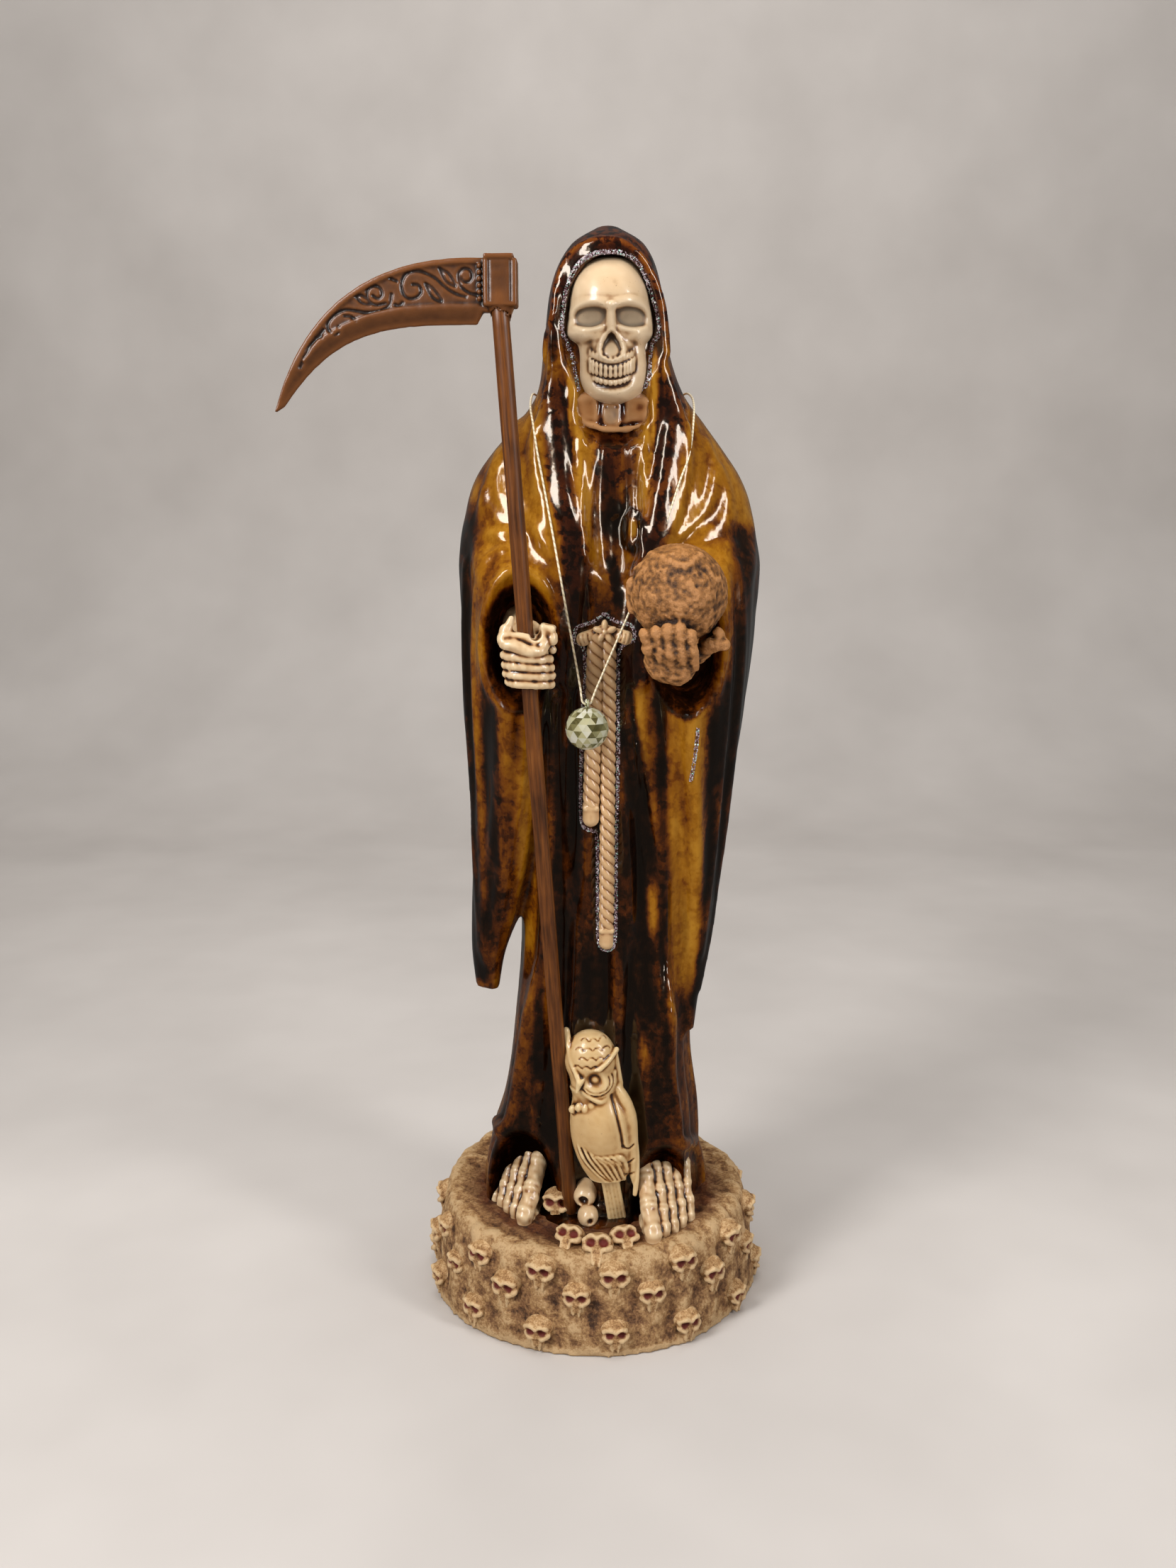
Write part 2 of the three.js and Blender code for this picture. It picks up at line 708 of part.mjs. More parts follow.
function bladeSolid() {
  const { top } = poleLine();
  const middle = bladeThickness / 2;
  const plate = new THREE.ExtrudeGeometry(bladeShape(), {
    depth: bladeThickness - 2 * bladeBevel,
    curveSegments: 7,
    bevelThickness: bladeBevel,
    bevelSize: bladeBevel,
    bevelOffset: -bladeBevel,
    bevelSegments: 1,
  });
  plate.translate(0, 0, bladeBevel - middle);
  plate.rotateX(Math.PI / 2);
  const body = new THREE.BoxGeometry(socketWidth, socketDepth, socketHeight, 1, 1, 1);
  body.translate(0, 0, collarHeight + socketHeight / 2 - 1);
  const cap = new THREE.BoxGeometry(socketWidth - 3, socketDepth + 0.8, socketCapHeight);
  cap.translate(-0.5, 0, collarHeight + socketHeight + socketCapHeight / 2 - 1.2);
  const collarProfile = [
    new THREE.Vector2(0, 0),
    new THREE.Vector2(poleDiameter / 2 + 0.8, 0),
    new THREE.Vector2(poleDiameter / 2 + 1, collarHeight * 0.4),
    new THREE.Vector2(socketDepth / 2, collarHeight),
    new THREE.Vector2(0, collarHeight),
  ];
  const collar = new THREE.LatheGeometry(collarProfile, 12);
  collar.rotateX(Math.PI / 2);
  const beads = [];
  const beadCount = 6;
  for (let i = 0; i < beadCount; i += 1) {
    const z = collarHeight + 1 + (i + 0.5) * ((socketHeight - 3) / beadCount);
    const bead = new THREE.OctahedronGeometry(0.9, 0);
    bead.translate(-socketWidth / 2 - 1.6, -middle, z);
    beads.push(toManifold(bead));
  }
  const rim = scrollRelief();
  let solid = join([toManifold(plate), toManifold(body), toManifold(cap), toManifold(collar), ...beads, ...rim]);
  solid = placed(solid, new THREE.Matrix4().setPosition(top));
  return solid.subtract(poleSolid(poleDiameter / 2 + fitClearance, fitClearance));
}

function placed(solid, matrix) {
  const geometry = toGeometry(solid);
  geometry.applyMatrix4(matrix);
  return toManifold(geometry);
}

// Raised rib along the blade's lower edge band and the two scroll waves, as slim raised ribs.

function scrollRelief() {
  const proud = 0.7;
  const share = bladeLength / 90;
  const front = -bladeThickness / 2;
  const rib = (points, radius, steps) => limb(
    points.map(([x, z]) => new THREE.Vector3(-7 - x * share, front + radius - proud, z)),
    points.map(() => radius / unit), 4, steps,
  );
  return [
    rib([[4, 8], [22, 7.2], [42, 4], [58, -2.5], [69, -11]], 1, 6),
    rib([[10, 15], [14, 19.5], [20, 17], [24, 10.5], [30, 10], [33, 15]], 0.9, 8),
    rib([[42, 16.5], [46, 11], [52, 6], [58, 6], [60, 1]], 0.9, 7),
  ];
}

// The necklace: one cord from its knot behind the hood, over a shoulder, down through the lug of
// the ball and back up over the other shoulder to the knot. The route is chosen by hand.

const cordRoute = [
  [6, 31, 458.7], [-6, 30, 459.2], [-16.3, 24, 460.5], [-24.3, 14.5, 462], [-28.7, 4, 463.6],
  [-29.9, -9, 463.3], [-30.4, -20, 460], [-30.2, -28.9, 455.6], [-28.9, -36.5, 448.8],
  [-26.8, -44.2, 436.2], [-23.7, -48.4, 420.5], [-20.3, -53, 403], [-12.9, -62.5, 363],
  [-6.6, -72, 329.5], [-5.9, -73.5, 324.3], [-5.44, -73.5, 322.89], [-4.24, -73.5, 322.02],
  [-2.76, -73.5, 322.02], [-1.56, -73.5, 322.89], [-1.1, -73.5, 324.3], [1, -72, 329.5],
  [15.2, -62.7, 361.5], [28.6, -53.9, 392], [34.8, -51.2, 409], [39.2, -47, 422], [43.7, -41.9, 434],
  [46.2, -31.2, 450.5], [46.7, -17, 460], [44.6, -3, 464], [41, 11, 462.6], [32.5, 22.3, 460.5],
  [20.5, 29, 459], [9.3, 31.3, 458.2],
];
const cordSides = 8;
const cordSteps = 48;

// A curve whose sections crowd where the route's points do, at the tight turn in the lug.

class CordPath extends THREE.CatmullRomCurve3 {
  getUtoTmapping(u) {
    return u;
  }
}

function necklaceCord() {
  const section = new THREE.Shape();
  for (let i = 0; i < cordSides; i += 1) {
    const angle = (2 * Math.PI * i) / cordSides;
    const point = [0.5 * cordDiameter * Math.cos(angle), 0.5 * cordDiameter * Math.sin(angle)];
    if (i === 0) {
      section.moveTo(...point);
    } else {
      section.lineTo(...point);
    }
  }
  section.closePath();
  const extrudePath = new CordPath(cordRoute.map((point) => new THREE.Vector3(...point)));
  const geometry = new THREE.ExtrudeGeometry(section, { steps: cordSteps, bevelEnabled: false, extrudePath });
  return toGeometry(toManifold(geometry));
}

// The crystal: rows of flat facets, turned half a facet from row to row, with a drilled lug on top.
// It hangs by the lug's hole from the lowest turn of the cord.

const crystalFacets = 10;
const crystalRows = 6;
const crystalLugThickness = 2.4;

function crystalBall() {
  const radius = crystalDiameter / 2;
  const lugHeight = radius + crystalLugDiameter / 4;
  const points = [new THREE.Vector3(0, 0, -radius), new THREE.Vector3(0, 0, radius)];
  for (let row = 1; row < crystalRows; row += 1) {
    const latitude = -Math.PI / 2 + (Math.PI * row) / crystalRows;
    for (let i = 0; i < crystalFacets; i += 1) {
      const angle = (2 * Math.PI * (i + 0.5 * (row % 2))) / crystalFacets;
      points.push(new THREE.Vector3(
        radius * Math.cos(latitude) * Math.cos(angle),
        radius * Math.cos(latitude) * Math.sin(angle),
        radius * Math.sin(latitude),
      ));
    }
  }
  const acrossLug = (diameter, length, sides) => toManifold(
    new THREE.CylinderGeometry(diameter / 2, diameter / 2, length, sides)
      .rotateZ(Math.PI / 2)
      .translate(0, 0, lugHeight),
  );
  const solid = toManifold(new ConvexGeometry(points))
    .add(acrossLug(crystalLugDiameter, crystalLugThickness, 12))
    .subtract(acrossLug(crystalHoleDiameter, crystalDiameter, 8));
  const lowest = Math.min(...cordRoute.map((point) => point[2]));
  const turn = cordRoute.filter((point) => point[2] === lowest);
  const turnX = turn.reduce((sum, point) => sum + point[0] / turn.length, 0);
  return placed(solid, new THREE.Matrix4().setPosition(turnX, turn[0][1], lowest - lugHeight));
}

// Nodes

const looks = {
  figure: { color: 0x6b3d10, roughness: 0.25, metalness: 0 },
  scythe_pole: { color: 0x5c2a12, roughness: 0.55, metalness: 0 },
  scythe_blade: { color: 0x7a3d17, roughness: 0.5, metalness: 0 },
  necklace_cord: { color: 0xe8dcc0, roughness: 0.4, metalness: 0 },
  crystal_ball: { color: 0xf4f7f2, roughness: 0.02, metalness: 0 },
};

const group = new THREE.Group();

function addNode(name, geometry) {
  const mesh = new THREE.Mesh(geometry, new THREE.MeshStandardMaterial(looks[name]));
  mesh.name = name;
  group.add(mesh);
  return mesh;
}

addNode('figure', toGeometry(figure()));
addNode('scythe_pole', toGeometry(poleSolid(poleDiameter / 2, 0)));
addNode('scythe_blade', toGeometry(bladeSolid()));
addNode('necklace_cord', necklaceCord());
addNode('crystal_ball', toGeometry(crystalBall()));

export default group;
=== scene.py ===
"""Looks of the santa muerte figure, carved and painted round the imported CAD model.

A cast resin statue is soft carving in one skin, so most pieces are cut from blocks of distances,
as a modeller adds and cuts clay, and then turned into meshes. Places are in millimetres in the
CAD model's frame, and every mesh is in metres.
"""

import math
from collections import namedtuple

import bmesh
import bpy
import numpy as np
import openvdb
from bpy.props import FloatProperty, FloatVectorProperty, IntProperty, PointerProperty
from mathutils import Euler, Matrix, Vector


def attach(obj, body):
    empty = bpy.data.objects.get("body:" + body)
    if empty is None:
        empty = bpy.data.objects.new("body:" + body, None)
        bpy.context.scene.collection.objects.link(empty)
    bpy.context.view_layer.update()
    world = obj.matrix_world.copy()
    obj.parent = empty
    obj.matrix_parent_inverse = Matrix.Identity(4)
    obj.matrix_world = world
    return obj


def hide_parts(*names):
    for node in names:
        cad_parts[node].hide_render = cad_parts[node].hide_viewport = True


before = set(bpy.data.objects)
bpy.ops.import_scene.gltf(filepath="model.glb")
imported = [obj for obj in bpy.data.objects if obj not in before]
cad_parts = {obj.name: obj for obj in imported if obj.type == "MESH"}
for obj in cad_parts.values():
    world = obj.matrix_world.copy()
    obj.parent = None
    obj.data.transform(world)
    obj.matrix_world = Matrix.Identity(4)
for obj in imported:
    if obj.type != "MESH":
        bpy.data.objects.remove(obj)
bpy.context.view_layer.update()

bl_info = {
    "name": "Santa muerte figure",
    "version": (1, 0, 0),
    "blender": (4, 5, 0),
    "location": "3D View > Sidebar > Figure",
    "description": "Builds the looks of a cast figure with scythe, globe, owl and crystal ball",
    "category": "Object",
}

MM = 0.001
BODY = "root"
FAR = 60.0
IMAGE_SIZE = (1659, 2212)


def colour_of(text):
    """A linear colour from an sRGB hex value."""
    parts = [int(text[i:i + 2], 16) / 255 for i in (0, 2, 4)]
    return (*[c / 12.92 if c <= 0.04045 else ((c + 0.055) / 1.055) ** 2.4 for c in parts], 1.0)


# Clay: blocks of distances

Form = namedtuple("Form", "distance low high")


def merged(a, b, soft):
    """The smaller of two distances, rounded where they meet."""
    if soft <= 0:
        return np.minimum(a, b)
    near = np.maximum(soft - np.abs(a - b), 0)
    return np.minimum(a, b) - near * near / (4 * soft)


def smooth_step(value, low, high):
    """0 below low, 1 above high, and a smooth rise between them."""
    t = np.clip((value - low) / (high - low), 0, 1)
    return t * t * (3 - 2 * t)


def egg(centre, halves, turn=(0, 0, 0)):
    """A rounded lump with three half sizes, turned about X, Y and Z in degrees."""
    centre, halves = np.array(centre, float), np.array(halves, float)
    turned = np.array(Euler([math.radians(a) for a in turn]).to_matrix())
    reach = np.sqrt((turned ** 2) @ (halves ** 2))

    def distance(x, y, z):
        away = (x - centre[0], y - centre[1], z - centre[2])
        u, v, w = (sum(turned[i][k] * away[i] for i in range(3)) for k in range(3))
        size = np.sqrt((u / halves[0]) ** 2 + (v / halves[1]) ** 2 + (w / halves[2]) ** 2)
        slope = np.sqrt((u / halves[0] ** 2) ** 2 + (v / halves[1] ** 2) ** 2 + (w / halves[2] ** 2) ** 2)
        return size * (size - 1) / np.maximum(slope, 1e-4)

    return Form(distance, centre - reach, centre + reach)


def block(centre, halves, corner, turn=(0, 0, 0)):
    """A box with rounded corners, turned about X, Y and Z in degrees."""
    centre, halves = np.array(centre, float), np.array(halves, float)
    turned = np.array(Euler([math.radians(a) for a in turn]).to_matrix())
    reach = np.abs(turned) @ halves

    def distance(x, y, z):
        away = (x - centre[0], y - centre[1], z - centre[2])
        over = [
            np.abs(sum(turned[i][k] * away[i] for i in range(3))) - halves[k] + corner for k in range(3)
        ]
        outside = np.sqrt(sum(np.maximum(part, 0) ** 2 for part in over))
        return outside + np.minimum(np.maximum(np.maximum(over[0], over[1]), over[2]), 0) - corner

    return Form(distance, centre - reach, centre + reach)


def string(points, radii):
    """Round rods one after another through the points. Radii are spread evenly along them."""
    points, radii = np.array(points, float), np.atleast_1d(np.array(radii, float))
    radii = np.interp(np.linspace(0, 1, len(points)), np.linspace(0, 1, len(radii)), radii)

    def distance(x, y, z):
        best = None
        for a, b, ra, rb in zip(points[:-1], points[1:], radii[:-1], radii[1:]):
            d = b - a
            along = ((x - a[0]) * d[0] + (y - a[1]) * d[1] + (z - a[2]) * d[2]) / max(d @ d, 1e-9)
            t = np.clip(along, 0, 1)
            gap = np.sqrt(
                (x - a[0] - t * d[0]) ** 2 + (y - a[1] - t * d[1]) ** 2 + (z - a[2] - t * d[2]) ** 2
            ) - (ra + t * (rb - ra))
            best = gap if best is None else np.minimum(best, gap)
        return best

    reach = radii.max()
    return Form(distance, points.min(0) - reach, points.max(0) + reach)


def bone(a, b, radius, knob):
    """A bone from a to b that swells to a knob at each end."""
    a, b = np.array(a, float), np.array(b, float)
    points = [a, a + 0.22 * (b - a), a + 0.5 * (b - a), a + 0.78 * (b - a), b]
    return string(points, [knob, radius * 1.05, radius * 0.9, radius * 1.05, knob])


def smooth_points(points, count):
    """Points spread along a smooth curve through the given ones."""
    points = np.array(points, float)
    spots = np.linspace(0, len(points) - 1, count)
    made = []
    for spot in spots:
        i = min(int(spot), len(points) - 2)
        t = spot - i
        before, after = points[max(i - 1, 0)], points[min(i + 2, len(points) - 1)]
        from_, to = points[i], points[i + 1]
        made.append(0.5 * (
            2 * from_ + (to - before) * t + (2 * before - 5 * from_ + 4 * to - after) * t ** 2
            + (3 * from_ - before - 3 * to + after) * t ** 3
        ))
    return np.array(made)


class Clay:
    """A block of distances in millimetres on an even grid, below zero inside the carving."""

    def __init__(self, low, high, grain):
        self.low, self.grain = np.array(low, float), grain
        self.count = np.ceil((np.array(high, float) - self.low) / grain).astype(int) + 1
        self.field = np.full(self.count, FAR, np.float32)

    def window(self, low, high, margin):
        """The part of the grid near a box, and its coordinates along each axis."""
        first = np.floor((np.array(low) - margin - self.low) / self.grain).astype(int)
        last = np.ceil((np.array(high) + margin - self.low) / self.grain).astype(int) + 1
        first, last = np.clip(first, 0, self.count), np.clip(last, 0, self.count)
        part = tuple(slice(a, b) for a, b in zip(first, last))
        axes = [self.low[i] + self.grain * np.arange(first[i], last[i]) for i in range(3)]
        x, y, z = np.ix_(*[axis.astype(np.float32) for axis in axes])
        return part, x, y, z

    def add(self, form, soft=0.0):
        """Adds a form, with a fillet of about that size where it meets what is there."""
        part, x, y, z = self.window(form.low, form.high, soft + 3 * self.grain)
        self.field[part] = merged(self.field[part], form.distance(x, y, z), soft)

    def cut(self, form, soft=0.0):
        """Cuts a form away, with edges rounded by about that size."""
        part, x, y, z = self.window(form.low, form.high, soft + 3 * self.grain)
        self.field[part] = -merged(-self.field[part], form.distance(x, y, z), soft)

    def change(self, low, high, make):
        """Adds make(x, y, z) to the distances inside a box: below zero swells the carving."""
        part, x, y, z = self.window(low, high, 0)
        self.field[part] += make(x, y, z)

    def blurred(self, reach):
        """The distances averaged over a cube of about that half size."""
        steps = max(int(round(reach / self.grain)), 1)
        limit = 1.5 * reach
        field = np.clip(self.field, -limit, limit).astype(np.float32)
        for axis in range(3):
            padded = np.pad(field, [(steps + 1, steps) if i == axis else (0, 0) for i in range(3)], "edge")
            total = np.cumsum(padded, axis=axis, dtype=np.float64)
            size = field.shape[axis]
            ends = np.take(total, range(2 * steps + 1, 2 * steps + 1 + size), axis)
            starts = np.take(total, range(0, size), axis)
            field = ((ends - starts) / (2 * steps + 1)).astype(np.float32)
        return field

    def sample(self, field, points):
        """Values of a field at points, blended between the grid's corners."""
        spots = (points - self.low) / self.grain
        base = np.clip(np.floor(spots).astype(int), 0, self.count - 2)
        share = np.clip(spots - base, 0, 1)
        value = np.zeros(len(points))
        for corner in np.ndindex(2, 2, 2):
            weight = np.ones(len(points))
            for axis in range(3):
                weight *= share[:, axis] if corner[axis] else 1 - share[:, axis]
            i, j, k = (base[:, axis] + corner[axis] for axis in range(3))
            value += weight * field[i, j, k]
        return value

    def piece(self, name, reach, tints=None):
        """A mesh object of the carving. Its point attribute "proud" is above 0.5 on ridges and
        below in hollows of about that reach, and tints adds further attributes by name."""
        level = openvdb.FloatGrid(3.0)
        level.copyFromArray(np.clip(self.field / self.grain, -3, 3).astype(np.float32))
        level.transform = openvdb.createLinearTransform(self.grain)
        points, _, quads = level.convertToPolygons(0.0, 0.0)
        points = points.astype(float) + self.low
        mesh = bpy.data.meshes.new(name)
        mesh.from_pydata((points * MM).tolist(), [], quads.tolist())
        mesh.validate()
        mesh.shade_smooth()
        proud = np.clip(0.5 + 2.2 * self.sample(self.blurred(reach), points) / reach, 0, 1)
        values = {"proud": proud}
        for tint, make in (tints or {}).items():
            values[tint] = np.clip(make(*points.T), 0, 1)
        for label, value in values.items():
            attribute = mesh.attributes.new(label, "FLOAT", "POINT")
            attribute.data.foreach_set("value", value.astype(np.float32))
        made = bpy.data.objects.new(name, mesh)
        bpy.context.scene.collection.objects.link(made)
        return made


def settle(piece, material=None, replaces=()):
    """Gives a finished piece its material, and says what it rides on and stands for."""
    if material is not None:
        piece.data.materials.clear()
        piece.data.materials.append(material)
    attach(piece, BODY)
    if replaces:
        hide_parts(*replaces)
    return piece


LATTICE = 32


def wobble(x, y, z, pitch, seed=0):
    """A smooth uneven swell between about -1 and 1, with bumps about a pitch apart."""
    values = np.random.RandomState(int(seed) + 17).uniform(-1, 1, (LATTICE,) * 3).astype(np.float32)
    corners, shares = [], []
    for axis, turned in enumerate((x + 0.13 * z, y + 0.17 * x, z - 0.11 * y)):
        spot = turned / (0.62 * pitch) + 3.7 * seed + axis
        base = np.floor(spot).astype(int)
        share = spot - base
        corners.append(base)
        shares.append(share * share * (3 - 2 * share))
    total = 0
    for corner in np.ndindex(2, 2, 2):
        weight = 1
        for share, up in zip(shares, corner):
            weight = weight * (share if up else 1 - share)
        i, j, k = ((base + up) % LATTICE for base, up in zip(corners, corner))
        total = total + weight * values[i, j, k]
    return total


# Materials

def node(tree, kind, settings=None, inputs=None, stops=None):
    """Adds a shader or geometry node. An input's value is a plain value or (node, output)."""
    made = tree.nodes.new(kind)
    for key, value in (settings or {}).items():
        setattr(made, key, value)
    for socket, value in (inputs or {}).items():
        if isinstance(value, tuple) and isinstance(value[0], bpy.types.Node):
            tree.links.new(value[0].outputs[value[1]], made.inputs[socket])
        else:
            made.inputs[socket].default_value = value
    if stops:
        ramp = made.color_ramp
        for place, colour in stops[2:]:
            ramp.elements.new(place)
        for element, (place, colour) in zip(ramp.elements, stops):
            element.position = place
            element.color = colour_of(colour) if isinstance(colour, str) else colour
    return made


def new_material(name):
    """An empty node material and its tree."""
    material = bpy.data.materials.new(name)
    material.use_nodes = True
    material.node_tree.nodes.clear()
    return material, material.node_tree

def between_rows(rows, heights):
    """Columns of a table at heights, by a smooth curve through its rows, which start with a height."""
    rows = np.array(rows, float)
    at = np.clip(np.searchsorted(rows[:, 0], heights, "left") - 1, 0, len(rows) - 2)
    before, start = rows[np.maximum(at - 1, 0)], rows[at]
    end, after = rows[at + 1], rows[np.minimum(at + 2, len(rows) - 1)]
    span = (end[:, :1] - start[:, :1])
    t = np.clip((np.array(heights)[:, None] - start[:, :1]) / span, 0, 1)
    start_slope = (end - before) / (end[:, :1] - before[:, :1])
    end_slope = (after - start) / (after[:, :1] - start[:, :1])
    return (
        start * (2 * t ** 3 - 3 * t ** 2 + 1) + start_slope * span * (t ** 3 - 2 * t ** 2 + t)
        + end * (3 * t ** 2 - 2 * t ** 3) + end_slope * span * (t ** 3 - t ** 2)
    )


def along(path, heights):
    """The x of a path of (x, height) points at heights."""
    path = sorted(path, key=lambda point: point[1])
    return np.interp(heights, [p[1] for p in path], [p[0] for p in path])


# Robe: gown, mantle and hood. A row is a height, the middle in x, the half width, the front
# and the back in y, as in the CAD model.

ROBE_ROWS = [
    (48, -2.4, 57.5, -40, 44), (72, -1.9, 54, -41, 42), (101, 1.8, 48.5, -43, 40), (135, 2.5, 43.5, -46, 38),
    (200, 6, 41, -50, 35), (300, 6, 45, -54, 36), (340, 6.5, 56, -54, 37), (366, 6.4, 69, -53, 39),
    (392, 6.3, 70.5, -50, 39), (410, 6.7, 69, -48, 38), (424, 6.4, 64, -45, 36), (437, 6.6, 55, -43, 33),
    (449, 7.6, 45, -42, 31), (463, 7.2, 35, -42, 29), (484, 5.2, 29.6, -43, 28), (513, 5.2, 25.6, -42, 24),
    (530, 5.9, 17.5, -36, 15), (540, 6, 4, -13, 3),
]
ROBE_TURN = 8
ROBE_POWER = 2.3

# Folds of the robe: a path of (angle, height) from the top down, how proud and how wide in degrees.
# Angles go from the viewer's right through the back, and the front is at -90.

ROBE_FOLDS = [
    ([(-152, 528), (-138, 510), (-137, 462), (-110, 415), (-104, 330)], 4.5, 12),
    ([(-28, 528), (-42, 510), (-43, 462), (-70, 415), (-78, 330)], 4.5, 12),
    ([(-122, 320), (-140, 48)], 4, 13), ([(-58, 320), (-42, 48)], 4, 13),
    ([(-104, 270), (-106, 110)], 2.5, 9), ([(-78, 290), (-74, 100)], 2.5, 9),
    ([(-50, 190), (-46, 40)], 9, 26), ([(-132, 190), (-134, 40)], 5, 24),
]
for turn in range(9):
    start = -20 + 27.5 * turn
    ROBE_FOLDS.append(([(start + 4, 410 - 60 * (turn % 2)), (start - 3, 48)], 3.4 - turn % 3, 13))
for turn in range(7):
    start = 12 + 26 * turn
    ROBE_FOLDS.append(([(start + 3, 330 + 70 * (turn % 2)), (start - 4, 48)], 2.2, 7))
for turn in range(5):
    start = 30 + 30 * turn
    ROBE_FOLDS.append(([(90 + 0.5 * (start - 90), 505), (start, 400), (start + 4, 300)], 1.8, 11))

# Hanging sleeves: a height, the middle in x and y, the half length along the arm, the half width
# across it and the arm's turn in degrees.

RIGHT_HAND_SLEEVE = [
    (168, -54, -18, 8, 5.5, 0), (187, -53, -17, 14, 8.5, 0), (206, -49.5, -17, 17, 12, 0),
    (235, -45.5, -19, 23, 15, 5), (272, -43, -21, 29, 17, 10), (309, -43, -24, 35, 19.5, 14),
    (345, -42, -27, 39, 21, 18), (372, -42, -26.5, 38, 21.5, 18), (386, -43, -21, 33, 21.5, 16),
    (402, -43, -10, 24, 18, 10), (418, -40, 0, 12, 11, 0),
]
LEFT_HAND_SLEEVE = [
    (148, 47, -20, 8, 4, 0), (165, 46.5, -19, 12, 7, 0), (187, 47.5, -18, 16, 10, 0),
    (206, 48, -18, 19, 12.5, 0), (235, 48, -20, 23, 15, -5), (272, 49.5, -22, 29, 17, -10),
    (309, 52, -25, 35, 19.5, -14), (345, 53.5, -28, 39, 21, -18), (372, 54.5, -26.5, 38, 21.5, -18),
    (386, 56, -21, 33, 21.5, -16), (402, 56, -10, 24, 18, -10), (418, 53, 0, 12, 11, 0),
]

# Measured edges in the photograph, as (x, height): the dark gown in the middle, and the hood's
# lappets beside the chest.

GOWN_LEFT = [(-17, 360), (-20, 315), (-22, 246), (-22.4, 181), (-24.4, 136), (-28.2, 98), (-30, 60)]
GOWN_RIGHT = [(17, 360), (19, 315), (29.8, 246), (35.7, 181), (37.9, 136), (43.7, 98), (45, 60)]
LAPPET_LEFT = [(-19.5, 470), (-18.5, 452), (-16.5, 432), (-14.5, 415), (-9.7, 397), (-8.3, 377), (-9.7, 356),
               (-13, 330)]
LAPPET_RIGHT = [(36.5, 470), (35.5, 446), (30, 411), (27.3, 397), (24, 383), (21, 356), (20, 330)]


# The fold round the hood's opening, and the medallion's edge, as (x, height).

HOOD_FOLD = [(-22.6, 478), (-22.2, 487.3), (-18.2, 499.7), (-17.5, 509.3), (-13.1, 520.9), (-7.4, 526.3), (1.1, 529),
             (8.2, 529), (14, 526.9), (19.7, 522.2), (25.5, 514), (29.9, 502.4), (32.1, 490), (33, 480)]
MEDALLION = [(21.9, 399.5), (21, 404.6), (17.7, 408.3), (14.4, 404.6), (13.6, 399.5), (14.5, 394), (17.7, 390.8),
             (20.9, 394), (21.9, 399.5)]


def robe_form():
    """The robe without its hollows."""

    def distance(x, y, z):
        table = between_rows(ROBE_ROWS, z.ravel())
        middle, half, front, back = (table[:, i][None, None, :].astype(np.float32) for i in range(1, 5))
        turn = math.radians(ROBE_TURN) * smooth_step(300 - z, 0, 250)
        middle_y = (front + back) / 2 - 0.06 * (back - front)
        dx, dy = x - middle, y - middle_y
        across = dx * np.cos(turn) - dy * np.sin(turn)
        deep = dx * np.sin(turn) + dy * np.cos(turn)
        u, v = across / half, deep / np.where(deep < 0, middle_y - front, back - middle_y)
        size = (np.abs(u) ** ROBE_POWER + np.abs(v) ** ROBE_POWER) ** (1 / ROBE_POWER)
        angle = np.degrees(np.arctan2(v, u))
        swell = np.zeros_like(size)
        for path, proud, wide in ROBE_FOLDS:
            top, bottom = path[0][1], path[-1][1]
            share = np.clip((top - z) / (top - bottom), 0, 1)
            fade = np.minimum(np.minimum(1, 5 * share), 0.4 + 5 * (1 - share)) * (z <= top)
            centre = along([(a, h) for a, h in path], z.ravel())[None, None, :]
            off = ((angle - centre + 180) % 360 - 180) / wide
            swell += fade * proud * np.maximum(1 - off * off, 0) ** 2
        radius = np.hypot(across, deep)
        return np.maximum(radius * (1 - 1 / np.maximum(size, 0.02)) - swell, z - 539.6)

    return Form(distance, (-70, -60, 40), (82, 52, 542))


def sleeve_form(rows, way):
    """A hanging sleeve, with hollow folds down its outer side."""

    def distance(x, y, z):
        table = between_rows(rows, np.clip(z.ravel(), rows[0][0], rows[-1][0]))
        mid_x, mid_y, long, short, turn = (table[:, i][None, None, :] for i in range(1, 6))
        turn = np.radians(turn)
        dx, dy = x - mid_x, y - mid_y
        across = dx * np.cos(turn) + dy * np.sin(turn)
        deep = -dx * np.sin(turn) + dy * np.cos(turn)
        size = np.sqrt((across / short) ** 2 + (deep / long) ** 2)
        angle = np.arctan2(deep / long, across / short)
        fold = 1.2 * np.cos(3 * angle + z / 60) + 0.9 * np.cos(9 * angle + way * z / 45) * smooth_step(z, 200, 280)
        beyond = np.maximum(rows[0][0] - z, z - rows[-1][0])
        return np.maximum(np.hypot(across, deep) * (1 - 1 / np.maximum(size, 0.05)) - fold, beyond)

    rows = np.array(rows, float)
    low = (rows[:, 1].min() - 34, -70, rows[0, 0] - 1)
    return Form(distance, low, (rows[:, 1].max() + 34, 30, rows[-1, 0] + 1))


# Ridges laid on the robe's front, each a path of (x, height), with its radius and how far its
# middle lies behind the surface. They are the drapes that run to the cuffs from the shoulders.

